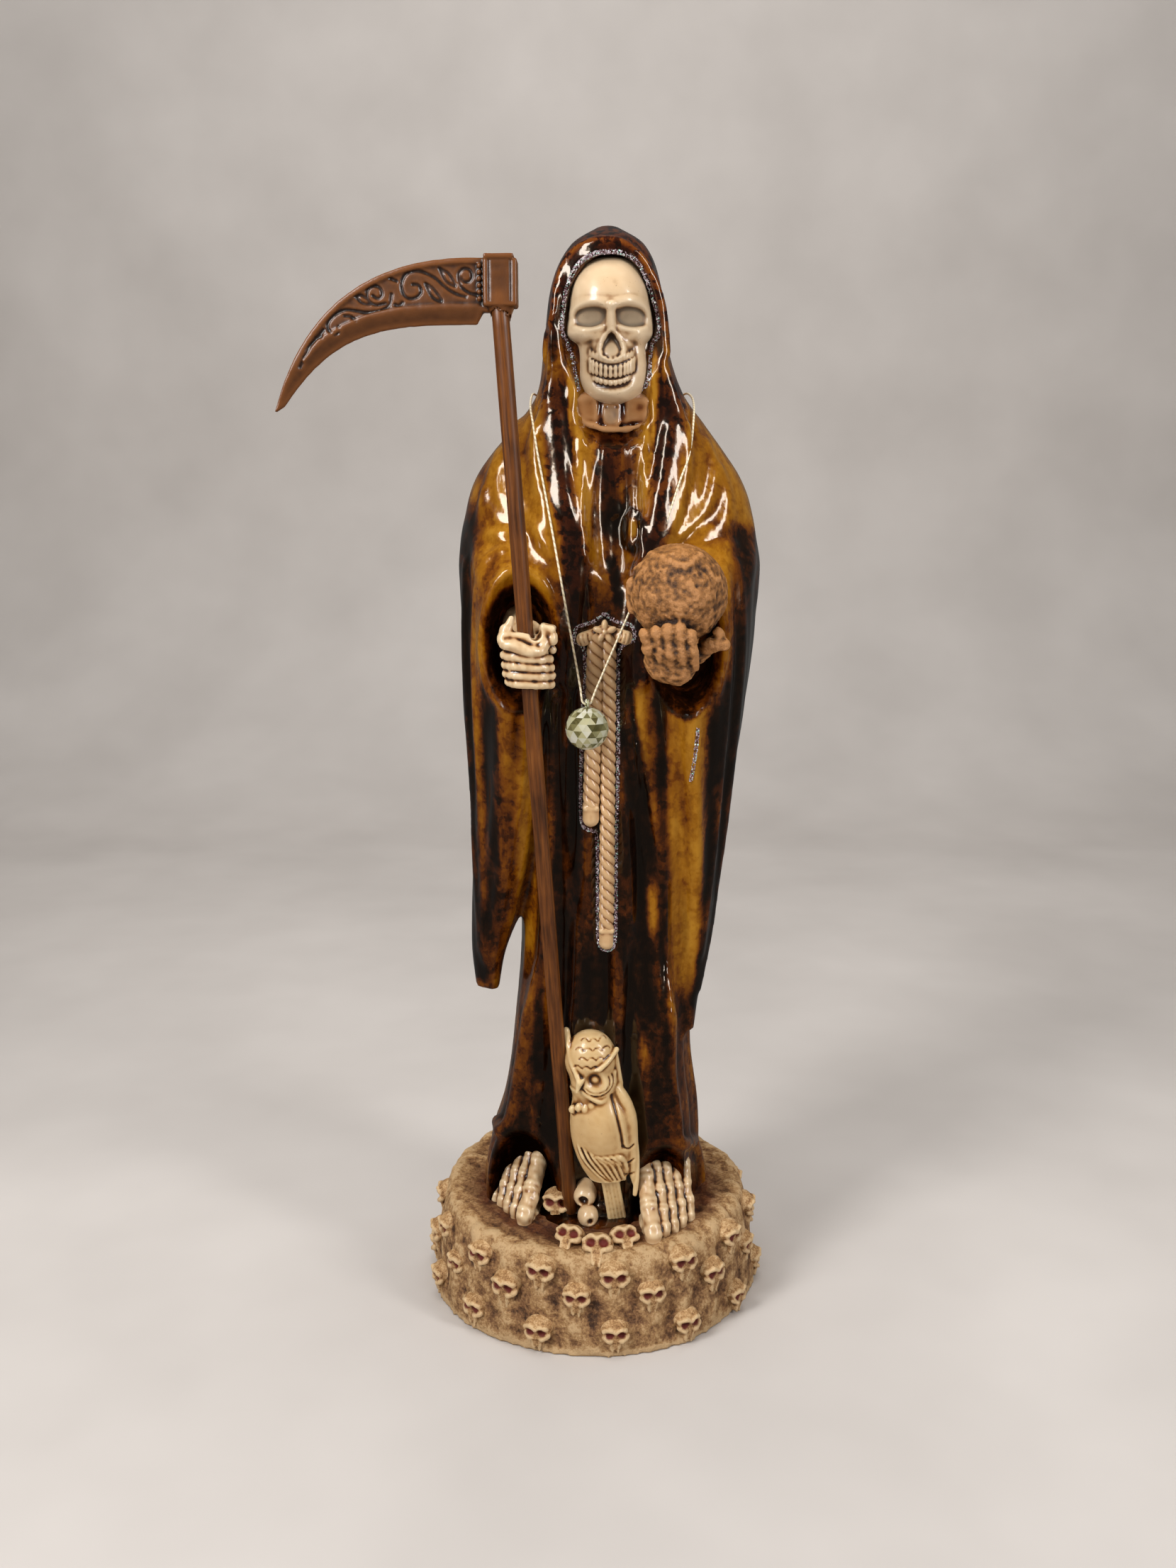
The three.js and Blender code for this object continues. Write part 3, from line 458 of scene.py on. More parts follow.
MANTLE_DRAPES = [
    ([(-36, 450), (-43, 433), (-45.5, 420), (-42.5, 411), (-37, 404)], 2.6, 1.7),
    ([(-46, 436), (-50, 420), (-49, 410), (-42, 401), (-34, 396)], 2.4, 1.5),
    ([(-52, 418), (-53, 406), (-49, 399), (-40, 395)], 2.2, 1.4),
    ([(-53, 396), (-46, 397.5), (-38, 397), (-28, 392), (-20, 386)], 2.2, 1.5),
    ([(-51, 386), (-44, 390), (-36, 390), (-27, 386), (-18, 379)], 1.9, 1.3),
    ([(-33, 430), (-30, 416), (-24, 400), (-18, 388)], 2.2, 1.5),
    ([(-38, 416), (-30, 404), (-22, 393), (-15, 380)], 1.8, 1.2),
    ([(-28, 447), (-27, 430), (-23, 410), (-17, 392)], 2.2, 1.5),
    ([(46, 448), (47.7, 438), (47, 424), (44.6, 411.5), (40, 398)], 2.6, 1.7),
    ([(52, 440), (55.5, 428), (54, 416), (48, 406), (39, 397)], 2.4, 1.6),
    ([(59, 428), (62, 414), (59, 404), (50, 398)], 2.2, 1.5),
    ([(65, 406), (59, 400), (51, 396), (43, 391)], 2.1, 1.4),
    ([(65, 393), (59, 392), (51, 389), (44, 385)], 1.9, 1.3),
    ([(43, 447), (42, 428), (38, 410), (32, 396)], 2.4, 1.5),
]
SLEEVE_STREAKS = [
    ([(-61, 384), (-62, 350), (-61, 300), (-59, 240), (-57, 190)], 2.2, 1.2),
    ([(-56, 372), (-57.5, 340), (-56, 290), (-55, 230), (-55, 185)], 1.8, 1.1),
    ([(-28, 318), (-31, 280), (-36, 240), (-43, 205)], 1.9, 1.2),
    ([(-40, 316), (-42, 280), (-45, 240), (-50, 200)], 1.6, 1.0),
    ([(66, 384), (69, 350), (67, 300), (64, 250), (58, 200), (53, 170)], 2.2, 1.2),
    ([(61, 378), (63, 340), (61, 290), (58, 240), (53, 190)], 1.8, 1.1),
    ([(36, 314), (36.5, 270), (38, 230), (41, 190), (44, 165)], 1.9, 1.2),
    ([(47, 314), (49, 270), (49.5, 230), (48.5, 190)], 1.5, 0.9),
]


def laid(clay, path, behind, count=18):
    """Points along a path of (x, height) on the carving's front, sunk by a little."""
    points = []
    for x, z in smooth_points(path, count):
        y = clay.front(x, z)
        if y is not None:
            points.append((x, y + behind, z))
    return points


class Carving(Clay):
    """Clay whose front can be asked for, so that relief follows it."""

    def front(self, x, z):
        """Where a line along +Y at x and a height first meets the carving, or None."""
        ys = self.low[1] + self.grain * np.arange(self.count[1])
        line = np.column_stack([np.full(len(ys), x), ys, np.full(len(ys), z)])
        values = self.sample(self.field, line)
        inside = int(np.argmax(values < 0))
        if values[inside] >= 0 or inside == 0:
            return None
        outer, inner = values[inside - 1], values[inside]
        return float(ys[inside - 1] + self.grain * outer / (outer - inner))


def oval(centre, half_x, half_z, bulge, count=26, first=0.0, last=360.0):
    """Points of an upright oval that faces the front, bent back by bulge at its sides."""
    angles = np.radians(np.linspace(first, last, count))
    return np.column_stack([
        centre[0] + half_x * np.cos(angles), centre[1] + bulge * np.cos(angles) ** 2,
        centre[2] + half_z * np.sin(angles),
    ])


def carve_robe():
    """The robe with its hollows, rims, drapes and pleats."""
    clay = Carving((-74, -70, 46), (86, 50, 546), 1.62)
    clay.add(robe_form())
    clay.add(sleeve_form(RIGHT_HAND_SLEEVE, -1), 7)
    clay.add(sleeve_form(LEFT_HAND_SLEEVE, 1), 7)
    for path, radius, behind in MANTLE_DRAPES + SLEEVE_STREAKS:
        clay.add(string(laid(clay, path, behind), [0.3 * radius, radius, radius, 0.3 * radius]), 4.5)
    # The gown's panel lies a little behind the front edges of the robe, and has upright pleats.

    def panel(x, y, z):
        left, right = along(GOWN_LEFT, z.ravel())[None, None, :], along(GOWN_RIGHT, z.ravel())[None, None, :]
        inside = smooth_step(x, left - 1.5, left + 1.5) * smooth_step(right - x, -1.5, 1.5)
        share = (x - left) / (right - left)
        pleat = 0.9 * np.cos(2 * math.pi * 5.5 * share + z / 90)
        return inside * smooth_step(-y, 20, 30) * smooth_step(355 - z, 0, 30) * (2.6 + pleat)

    clay.change((-40, -62, 60), (52, -22, 356), panel)
    for centre, halves, soft in [
        ((7, -47, 492), (26, 27, 38), 3), ((8.5, -47, 456), (20, 19, 21), 3), ((9.5, -56, 424), (17.5, 17, 52), 3),
    ]:
        clay.cut(egg(centre, halves), soft)
    clay.add(egg((7, -21, 488), (24.5, 15.5, 40)), 3)
    rims = [(string(oval((7, -37, 489), 24.2, 37, 5, 30, -35, 215), 2.4), 3)]
    for centre_x, centre_z, half_x in [(-34.5, 350, 17.5), (42, 348, 17.5)]:
        clay.cut(egg((centre_x, -66, centre_z), (19, 22, 32)), 2.5)
        clay.cut(egg((centre_x, -50, centre_z - 2), (13, 20, 22)), 4)
    for path, radius in [
        ([(-18.8, 322), (-17, 340), (-18.3, 360), (-24, 376), (-34.5, 382.5), (-45, 377), (-51.5, 360), (-53, 342),
          (-50, 326), (-42, 318)], 1.9),
        ([(58, 326), (60.5, 345), (59.5, 362), (54, 376), (44, 382), (33, 378)], 1.9),
    ]:
        rims.append((string(laid(clay, path, 0.6, 30), radius), 2))
    for centre, halves in [((-38, -42, 50), (21, 26, 46)), ((36, -56, 50), (19, 28, 43))]:
        clay.cut(egg(centre, halves), 1.5)
    for centre_x, centre_y, half_x, half_z in [(-38, -42, 21, 46), (36, -56, 19, 43)]:
        points = []
        for angle in np.radians(np.linspace(-4, 184, 30)):
            x, z = centre_x + half_x * math.cos(angle), 50 + half_z * math.sin(angle)
            y = clay.front(x + 1.5 * math.cos(angle), z + 1.5 * math.sin(angle))
            if y is not None:
                points.append((x + 2 * math.cos(angle), y + 2.5, z + 2 * math.sin(angle)))
        rims.append((string(points, 3.3), 2.5))
    for form, soft in rims:
        clay.add(form, soft)
    for path in [LAPPET_LEFT, LAPPET_RIGHT]:
        clay.add(string(laid(clay, path[1:], 2.4, 20), 4.6), 4)
    # Chest: upright pleats that spread a little downwards, below the curved neckline.
    for top, low, bottom, radius in [
        (-6.6, -6.4, -5, 1.6), (0.8, -2.5, -3, 1.1), (2.4, 0.6, 1.6, 0.9), (5.8, 4.4, 5.2, 0.8), (7.9, 6, 7, 0.9),
        (15.4, 17.4, 16, 0.9), (18.1, 18.1, 17.6, 0.8), (23.5, 23.2, 22.2, 1.5),
    ]:
        path = [(top, 444), (low, 412), (bottom, 385)]
        clay.add(string(laid(clay, path, 0.5, 14), [radius] * 13 + [0.4]), 1.6)
    clay.add(string(laid(clay, [(11, 442), (10.5, 425), (9, 408)], 1.6, 10), np.linspace(0.8, 3.6, 10)), 2)
    clay.add(string(laid(clay, [(-8, 451), (-1, 446.5), (8.5, 444.5), (17, 445.5), (24.5, 447)], 0.8, 16), 1.4), 1.5)
    clay.add(string(laid(clay, MEDALLION, 0.2, 40), 1.5), 0.8)
    clay.add(string(laid(clay, [(17.7, 404), (17.6, 395)], 1.2, 8), 2.6), 1.0)
    fold = laid(clay, HOOD_FOLD, -0.2, 60)
    clay.add(string([(x, y + 1.4, z) for x, y, z in fold], 2.2), 2)
    inner = [(x + 0.13 * (6.5 - x), z - 0.1 * max(z - 500, 0)) for x, z in HOOD_FOLD]
    clay.cut(string(laid(clay, inner, -0.3, 60), 1.4), 1.2)
    # The dark resin that fills the floor between the feet.
    clay.add(egg((0, -30, 49), (34, 24, 4)), 3)
    clay.cut(block((0, 0, 30), (100, 100, 17.6), 0.1))
    return clay


def mask(path, half, soft, x, z):
    """1 near a path of (x, height) points, falling to 0 at half plus soft beside it, within its ends."""
    heights = [p[1] for p in path]
    ends = smooth_step(z, min(heights) - 6, min(heights) + 6) * smooth_step(max(heights) + 6 - z, 0, 12)
    return ends * (1 - smooth_step(np.abs(x - along(path, z)), half - soft, half + soft))


# Where the tinted resin is lighter or darker on the front, as (path, half width, softness, change).

FRONT_TINTS = [
    (LAPPET_LEFT, 4.6, 3.5, -0.5), (LAPPET_RIGHT, 4.8, 3.5, -0.55),
    ([(8, 445), (8.5, 420), (9, 396)], 8.5, 4, -0.5), ([(8, 392), (10, 360)], 6, 5, -0.2),
    ([(-11.4, 484), (-11.6, 462), (-9, 430), (-7, 405)], 2.4, 1.5, 0.4), ([(27.4, 484), (27.8, 462), (25.5, 430), (23, 405)], 2.2, 1.5, 0.35),
    ([(9.5, 410), (9.5, 403)], 3.2, 1.5, -0.9), ([(7, 387), (9, 380), (11.5, 368)], 2.4, 1.0, -0.8),
    ([(-64, 402), (-65, 350), (-64, 290), (-62, 220), (-59, 175)], 5, 3, -0.6),
    ([(-56, 360), (-57, 330), (-55, 290), (-54, 240)], 2.5, 2, 0.25),
    ([(-50, 316), (-50, 270), (-50, 220), (-51, 180)], 4.5, 4, -0.4),
    ([(-29, 335), (-30, 300), (-32, 250), (-35, 190)], 5, 3, 0.3),
    ([(-22, 330), (-23, 290), (-25, 240), (-27, 190), (-28, 130)], 2.2, 1.8, -0.45),
    ([(74, 400), (75, 350), (72, 290), (66, 220), (57, 160)], 8, 4, -0.7),
    ([(45, 325), (44, 280), (44, 230), (45, 170)], 8, 4, 0.36),
    ([(60, 330), (59, 280), (58, 220), (56, 180)], 5, 3, -0.45),
    ([(32, 330), (32, 280), (34, 230), (37, 170)], 2.5, 2, -0.35),
    ([(60, 404), (68, 396), (72, 385)], 7, 4, -0.35),
    ([(-62, 412), (-60, 398), (-60, 384)], 7, 4, -0.4),
    ([(-52, 436), (-54, 420), (-50, 410)], 2.5, 2, -0.3),
    ([(-38, 150), (-41, 110), (-48, 70)], 5, 4, 0.1), ([(46, 150), (50, 100), (53, 60)], 4, 3, 0.1),
    ([(-13.8, 480), (-13.6, 455), (-11.4, 434)], 0.9, 0.9, -0.7), ([(29.8, 480), (29.8, 455), (28, 434)], 0.9, 0.9, -0.7),
    ([(-10.6, 470), (-9.8, 446), (-8.4, 425)], 0.7, 0.8, -0.5), ([(26, 470), (25.6, 446), (24.4, 425)], 0.7, 0.8, -0.5),
    # The pale lines along the chest pleats are painted highlights.
    ([(0, 442), (-3, 420), (-4, 392)], 1.6, 1.4, 0.5), ([(12.4, 440), (13.2, 424), (12.6, 410)], 1.2, 1.2, 0.45),
    ([(3.4, 436), (1.4, 412), (2.6, 394)], 1.0, 1.0, 0.35), ([(20.6, 440), (21, 420), (20, 409)], 1.0, 1.0, 0.35),
    ([(28, 230), (29, 205)], 2.5, 2, 0.55), ([(24, 150), (25, 136)], 2.5, 2, 0.4),
    ([(21, 330), (23, 280)], 2.2, 2, 0.3),
]


def amber_and_shade_at(x, y, z):
    """How light and amber the resin is: 0 is nearly black, 1 is clear amber gold.
    It also carries painted shade inside the cuffs, the arches over the feet and the groove inside
    the hood's fold, and painted highlights along the chest pleats.
    """
    front = smooth_step(-y, -16, 24)
    mantle = smooth_step(z, 352, 388)
    tone = 0.38 + 0.32 * mantle - 0.38 * smooth_step(z, 466, 484)
    tone = tone - 0.22 * smooth_step(170 - z, 0, 30)
    gown = smooth_step(x, along(GOWN_LEFT, z) - 2, along(GOWN_LEFT, z) + 3)
    gown = gown * smooth_step(along(GOWN_RIGHT, z) - x, -2, 3) * smooth_step(352 - z, 0, 22)
    tone = tone * (1 - front * gown) + 0.06 * front * gown
    for path, half, soft, change in FRONT_TINTS:
        tone = tone + front * change * mask(path, half, soft, x, z)
    # Painted shade along the groove cut inside the hood's fold, and a lighter line along the fold itself.
    inner = [(u + 0.1 * (6.5 - u), v - 0.08 * max(v - 500, 0)) for u, v in HOOD_FOLD]
    tone = tone - front * (0.5 * crest(x, z, inner, 3.6, 40) - 0.3 * crest(x, z, HOOD_FOLD, 3.0, 40))
    tone = tone - front * (0.9 * crest(x, z, MEDALLION, 3.2, 30) - 1.1 * patch(x, z, (17.7, 401), (3.0, 6)))
    # Painted shade: the resin is darkened inside the cuffs, where the sleeves are hollow.
    cuffs = [((-34.5, -66, 346), (18.5, 34, 32)), ((42, -66, 344), (18, 34, 32))]
    for centre, halves in cuffs:
        inside = sum(((v - c) / h) ** 2 for v, c, h in zip((x, y, z), centre, halves))
        tone = tone * (1 - 0.9 * smooth_step(1.06 - inside, 0, 0.12) * smooth_step(-y, 24, 30))
    # Painted shade: the resin is darkened in the arches over the feet.
    for centre, halves in [((-38, -40, 50), (22, 27, 47)), ((36, -54, 50), (20, 29, 44))]:
        inside = sum(((v - c) / h) ** 2 for v, c, h in zip((x, y, z), centre, halves))
        tone = tone * (1 - 0.9 * smooth_step(1.2 - inside, 0, 0.14))
    streak = 0.5 + 0.5 * np.cos(np.degrees(np.arctan2(y, x)) / 6.2 + z / 47) * np.cos(z / 71 + x / 13)
    back = 0.30 + 0.34 * streak + 0.12 * smooth_step(z, 330, 420) - 0.16 * smooth_step(z, 465, 500)
    return front * tone + (1 - front) * back


def hollow_at(x, y, z):
    """1 inside the cuffs and the arches over the feet, where no gloss reaches the eye."""
    deep = np.zeros_like(x)
    for centre, halves in [((-38, -42, 50), (22, 27, 47)), ((36, -56, 50), (20, 29, 44)),
                           ((-34.5, -62, 349), (19, 30, 32)), ((42, -62, 347), (19, 30, 32))]:
        inside = sum(((v - c) / h) ** 2 for v, c, h in zip((x, y, z), centre, halves))
        deep = np.maximum(deep, smooth_step(1.12 - inside, 0, 0.14))
    return deep


def red_at(x, y, z):
    """How maroon the resin is: inside the hood and on the lappets."""
    hood = smooth_step(z, 480, 492) * smooth_step(-y, 4, 20)
    strap = np.maximum(mask(LAPPET_LEFT, 6.5, 2, x, z), mask(LAPPET_RIGHT, 7, 2, x, z)) * smooth_step(-y, 4, 20)
    chest = mask([(9.5, 446), (9, 420)], 11, 3, x, z) * smooth_step(-y, 4, 20)
    return np.maximum(np.maximum(0.9 * hood, 0.7 * strap), 0.8 * chest)

def patch(x, z, centre, halves, turn=0.0, edge=1.0):
    """1 in the middle of an oval and 0 outside it, and the rise takes that share of its radius."""
    c, s = math.cos(math.radians(turn)), math.sin(math.radians(turn))
    u, v = (x - centre[0]) * c + (z - centre[1]) * s, (z - centre[1]) * c - (x - centre[0]) * s
    return smooth_step(1 - np.sqrt((u / halves[0]) ** 2 + (v / halves[1]) ** 2), 0, edge)


def crest(x, z, path, width, count=24):
    """1 along a smooth path of (x, height) and 0 at that distance from it."""
    points, nearest = smooth_points(path, count), None
    for a, b in zip(points[:-1], points[1:]):
        d = b - a
        t = np.clip(((x - a[0]) * d[0] + (z - a[1]) * d[1]) / max(d @ d, 1e-9), 0, 1)
        away = (x - a[0] - t * d[0]) ** 2 + (z - a[1] - t * d[1]) ** 2
        nearest = away if nearest is None else np.minimum(nearest, away)
    return np.maximum(1 - nearest / width ** 2, 0) ** 2


# The skull by height: its left and right edge in x, and how far forward its middle line comes.

SKULL_ROWS = [
    (457, 5, 12.5, -38), (459.4, -1.4, 18.6, -42.5), (462.8, -4.8, 22.4, -44.2), (467.4, -6.6, 24.2, -44.6),
    (474.3, -6.8, 24.0, -44.8), (480, -7.2, 23.2, -44.4), (484, -8.3, 23.4, -43.8), (486.4, -11, 25, -44), (488.4, -12.8, 26.4, -44.2),
    (491, -13, 26.8, -44.6), (494.9, -12.2, 26.4, -45.6), (499.5, -11.5, 25.4, -46.8), (505.3, -11.2, 24.6, -47),
    (511.6, -9.8, 22.6, -44.6), (517.3, -6.8, 19.6, -40.4), (521.6, -2, 16, -34.6), (524.4, 4.2, 10, -28),
]
TEETH_MIDDLE = 7.6
UPPER_TEETH = [-3.0, -1.5, -0.1, 1.6, 3.7, 5.9, 8.2, 10.5, 12.7, 14.4, 15.9, 17.3, 18.7]
SKULL_SIDE = -24


def face_relief(x, z):
    """How proud the skull's front is of its smooth shape at x and a height."""
    height = 1.0 * crest(x, z, [(-11, 498.4), (-7.4, 500.6), (-2, 501.4), (3.6, 500.9), (7.3, 500.4), (11, 500.9),
                                (16.6, 501.8), (21.4, 500.8), (25, 498.4)], 3.6)
    height = height + 1.5 * crest(x, z, [(7.3, 499.5), (7.3, 494), (7.4, 489.6)], 2.9)
    height = height + 2.5 * patch(x, z, (7.8, 478.6), (12.6, 9)) + 1.2 * patch(x, z, (7.8, 461.8), (10, 4.4))
    height = height - 0.6 * patch(x, z, (-11, 505), (4, 7)) - 0.6 * patch(x, z, (24.6, 505), (4, 7))
    for middle, way in ((-2.3, -1), (16.6, 1)):
        out = middle + 4.6 * way
        height = height + 2.6 * patch(x, z, (out + 0.6 * way, 487.4), (8.4, 5.4), -10 * way)
        height = height + 0.5 * crest(x, z, [(middle - 4.6 * way, 490.6), (middle, 489.8), (out + 2 * way, 490.8)], 1.8)
        height = height - 1.0 * patch(x, z, (middle - 0.6 * way, 480.6), (5, 3.6), -14 * way)
        hollow = [(middle + 1.2 * way, 483.4), (middle + 1.8 * way, 478.4), (middle + 1.9 * way, 472.4)]
        height = height - 0.5 * crest(x, z, hollow, 3.6)
    jaw = [(-5.2, 484), (-5.2, 477), (-4.8, 470), (-3.2, 466), (0.6, 462.6), (4.4, 460.8), (7.7, 460), (11, 460.6),
           (15.4, 462.6), (20, 466), (21.8, 470), (22, 477), (21.6, 484)]
    height = height + 0.9 * crest(x, z, jaw, 4.0, 40)
    edge = [475.4, 476.4, 478.2, 480.8, 484, 487.4, 490.2]
    left = np.interp(z, edge, [9.0, 4.6, 2.6, 2.1, 3.2, 5.3, 8.9])
    right = np.interp(z, edge, [6.2, 10.4, 12.4, 13.0, 11.8, 9.6, 5.7])
    within = np.minimum(x - left, right - x)
    inside = smooth_step(within, -0.4, 1.9)
    depth = np.interp(z, [475.4, 478, 481, 485, 488.6], [0.5, 1.2, 2.0, 3.2, 3.8])
    lip = smooth_step(within, -2.4, -0.4) * (1 - inside) * smooth_step(z, 474.6, 478) * smooth_step(490 - z, 0, 3)
    height = height - inside * depth + 0.5 * lip
    for centre, half, turn in (((-2.4, 494.9), 8.9, 3), ((16.6, 494.9), 8.7, -3)):
        u, v = (x - centre[0]) / half, (z - centre[1] - math.radians(turn) * (x - centre[0])) / 5.5
        reach = (np.abs(u) ** 2.6 + np.abs(v) ** 2.6) ** (1 / 2.6)
        rise = np.interp(v, [-1, 0.2, 1], [0.5, 0.44, 0.34])
        height = height - 2.3 * smooth_step((1.04 - reach) / rise, 0, 1)
        height = height - 1.3 * np.maximum(1 - (u * half / 8) ** 2 - ((v - 0.2) * 5.5 / 5.4) ** 2, 0)
    # Teeth in a smile: the gum line, the line between the rows, and the foot of the lower row.
    # Each tooth is a rounded lobe, so the lines are scalloped.
    off = x - TEETH_MIDDLE
    edges = np.array(UPPER_TEETH)
    at = np.clip(np.searchsorted(edges, x.ravel()) - 1, 0, len(edges) - 2).reshape(x.shape)
    part = np.clip((x - edges[at]) / (edges[at + 1] - edges[at]) * 2 - 1, -1, 1) ** 2
    gum = 473.9 + 0.040 * off * off - 0.9 * part
    mouth = 467.5 + 0.030 * off * off + 0.6 * part
    foot = 464.6 + 0.034 * off * off + 0.5 * part
    crown = 0.3 + 0.7 * np.sqrt(1 - part)
    wide, narrow = smooth_step(12 - np.abs(off), 0, 3), smooth_step(9.6 - np.abs(off), 0, 3)
    upper = np.clip(2 * (z - mouth) / (gum - mouth) - 1, -1, 1)
    root = np.maximum(1 - ((z - gum - 1.9) / 2) ** 2, 0)
    height = height + wide * crown * (2 - 2 * upper ** 4 + 0.8 * root)
    lower = np.clip(2 * (z - foot) / (mouth - foot) - 1, -1, 1)
    under = np.maximum(1 - ((z - foot + 1.3) / 1.6) ** 2, 0)
    return height + narrow * (1.5 * crown * (1 - lower ** 4) - 0.5 * under)


def carve_face():
    """The skull in the hood: tall smooth forehead, shallow sockets, smiling teeth, broad jaw."""
    clay = Carving((-17, -57, 454), (31, -12, 528), 0.48)

    def distance(x, y, z):
        left, right, front = (between_rows(SKULL_ROWS, z.ravel())[:, i][None, None, :] for i in (1, 2, 3))
        middle, half = (left + right) / 2, np.maximum((right - left) / 2, 1) + 1.3
        share = np.minimum(np.abs(x - middle) / half, 1)
        surface = SKULL_SIDE + (front - SKULL_SIDE) * np.sqrt(1 - share ** 2.5)
        relief = face_relief(x[:, 0, :], z[0, :, :])[:, None, :]
        forward = (surface - relief - y) * 0.8
        beside = np.abs(x - middle) - half
        ends = np.maximum(SKULL_ROWS[0][0] - z, z - SKULL_ROWS[-1][0])
        return -merged(-np.maximum(forward, y + 14), -np.maximum(beside, ends), 2.5)

    clay.add(Form(distance, (-16, -56, 455), (30, -13, 526)))
    clay.change((-17, -57, 454), (31, -12, 528), lambda x, y, z: 0.12 * wobble(x, y, z, 6, 1))
    return clay


def grey_at(x, y, z):
    """Where the skull's paint is grey: the floors of the sockets and the nose."""
    left = patch(x, z, (-2.3, 494.8), (8.8, 5.8), 0, 0.6)
    right = patch(x, z, (16.7, 494.8), (8.6, 5.8), 0, 0.6)
    return 0.8 * np.maximum(np.maximum(left, right), 0.6 * patch(x, z, (7.5, 482), (5.4, 7.4)))


def carve_collar():
    """The neck bone and the two collar plates of clear tan resin under the chin."""
    clay = Clay((-16, -56, 438), (32, -12, 470), 0.6)
    clay.add(block((7.6, -24.6, 455), (18.4, 10.2, 8.4), 3.4))
    for (x, z), lean in (((-4.2, 455.4), -6), ((19.4, 454.8), 8)):
        clay.add(block((x, -32.6, z), (6.4, 3.7, 6.2), 2.4, (5, lean, 0)), 2)
    clay.add(block((7.7, -32.4, 452.6), (4.4, 3.6, 5.2), 1.8), 0.5)
    for path in ([(2.4, 463), (2.6, 456), (2.2, 450)], [(12.8, 463), (12.8, 456), (13.4, 450)]):
        clay.cut(string([(x, -36.6, z) for x, z in path], 1.5), 0.8)
    for x in (5, 10.2):
        clay.cut(egg((x, -36.8, 456), (1.1, 1.6, 1.3)), 0.5)
    neckline = smooth_points([(-9.5, 452), (-4.4, 448.6), (2, 446.4), (8.2, 445.6), (14.6, 445.8), (24.4, 448)], 16)
    clay.add(string([(x, -34.9, z) for x, z in neckline], 1.3), 1.5)
    clay.change(clay.low, (32, -12, 470), lambda x, y, z: 0.4 * wobble(x, y, z, 6, 2))
    return clay


def bone_grey_at(x, y, z):
    """Where the collar is greyish bone: the neck bone in the middle."""
    return 0.5 * patch(x, z, (7.6, 452.4), (5.2, 5.6), 0, 0.6)


def pole_point(z):
    """The middle of the scythe's pole at a height."""
    t = (z - POLE_FOOT[2]) / (POLE_TOP[2] - POLE_FOOT[2])
    return [a + t * (b - a) for a, b in zip(POLE_FOOT, POLE_TOP)]


POLE_FOOT = (-12, -38, 50)
POLE_TOP = (-39.2, -98.2, 485.5)


def carve_fist():
    """The right fist: four finger bones across the pole, with the thumb and wrist above."""
    clay = Carving((-50, -98, 322), (-12, -26, 370), 0.55)
    x0, y0, _ = pole_point(346)
    clay.add(egg((x0 + 0.5, y0 + 7, 346), (9, 8.5, 14.5)))
    for left, right, radius in [
        ((-8.4, 333.0), (9.2, 332.0), 2.0), ((-9.0, 336.8), (9.6, 335.7), 2.1), ((-9.2, 341.0), (9.4, 339.6), 2.15),
        ((-9.4, 345.3), (9.2, 343.4), 2.2),
    ]:
        cx, cy, _ = pole_point((left[1] + right[1]) / 2)
        (lx, lz), (rx, rz) = left, right
        path = [(cx + lx, cy - 1, lz), (cx + lx * 0.74, cy - 6.2, lz - 0.2), (cx, cy - 7.4, (lz + rz) / 2),
                (cx + rx * 0.74, cy - 6, rz + 0.2), (cx + rx, cy - 1, rz)]
        points = smooth_points(path, 14)
        clay.add(string(points, radius + 0.15), 0.8)
        for (kx, kz), way in ((left, -1), (right, 1)):
            clay.add(egg((cx + kx * 1.06, cy - 2.4, kz), (2.3, 2.6, 2.1)), 0.7)
    cx, cy, _ = pole_point(353)
    band = [(cx - 8.8, cy - 2, 356.5), (cx - 9.6, cy - 4.5, 351.5), (cx - 5, cy - 6.8, 350.0), (cx + 1.5, cy - 7.4, 347.6),
            (cx + 6.2, cy - 5.6, 347.4), (cx + 8.8, cy - 4, 351)]
    clay.add(string(smooth_points(band, 18), np.linspace(3.0, 2.6, 18)), 0.8)
    clay.add(block((cx - 0.2, cy - 2.6, 351.4), (9.4, 3.8, 4.0), 2.0, (0, 6, 0)), 1.5)
    clay.add(block((cx + 9.4, cy - 1.6, 355.2), (3.6, 4.2, 4.0), 1.6, (0, 14, 0)), 1.0)
    clay.add(egg((cx + 12.2, cy - 3.6, 353), (2.4, 2.8, 3.2)), 0.8)
    clay.add(string([(cx - 8, cy - 2.5, 357), (cx - 6.4, cy - 3, 361.8)], [2.4, 1.2]), 0.8)
    clay.add(string([(cx + 9, cy, 351), (cx + 12, cy - 1, 347.6)], [2.2, 1.8]), 0.7)
    clay.cut(egg((cx + 4.6, cy - 6.0, 355.0), (2.7, 6, 3.0)), 0.6)
    clay.add(string([(x0 + 1, y0 + 8, 350), (x0 - 1, y0 + 26, 352), (x0 - 8, y0 + 48, 358)], [7, 5.6, 8]), 2)
    axis_low, axis_high = pole_point(320), pole_point(372)
    clay.change((-50, -98, 322), (-12, -26, 370), lambda x, y, z: 0.22 * wobble(x, y, z, 3.4, 3))
    clay.cut(string([axis_low, axis_high], 3.9), 0.3)
    return clay


GLOBE = (37, -85, 373)
GLOBE_RADIUS = 21.6


def globe_front(x, z, behind=0.0):
    """A point on the globe's front at x and a height."""
    across, up = x - GLOBE[0], z - GLOBE[2]
    return (x, GLOBE[1] - math.sqrt(max(GLOBE_RADIUS ** 2 - across ** 2 - up ** 2, 1)) + behind, z)


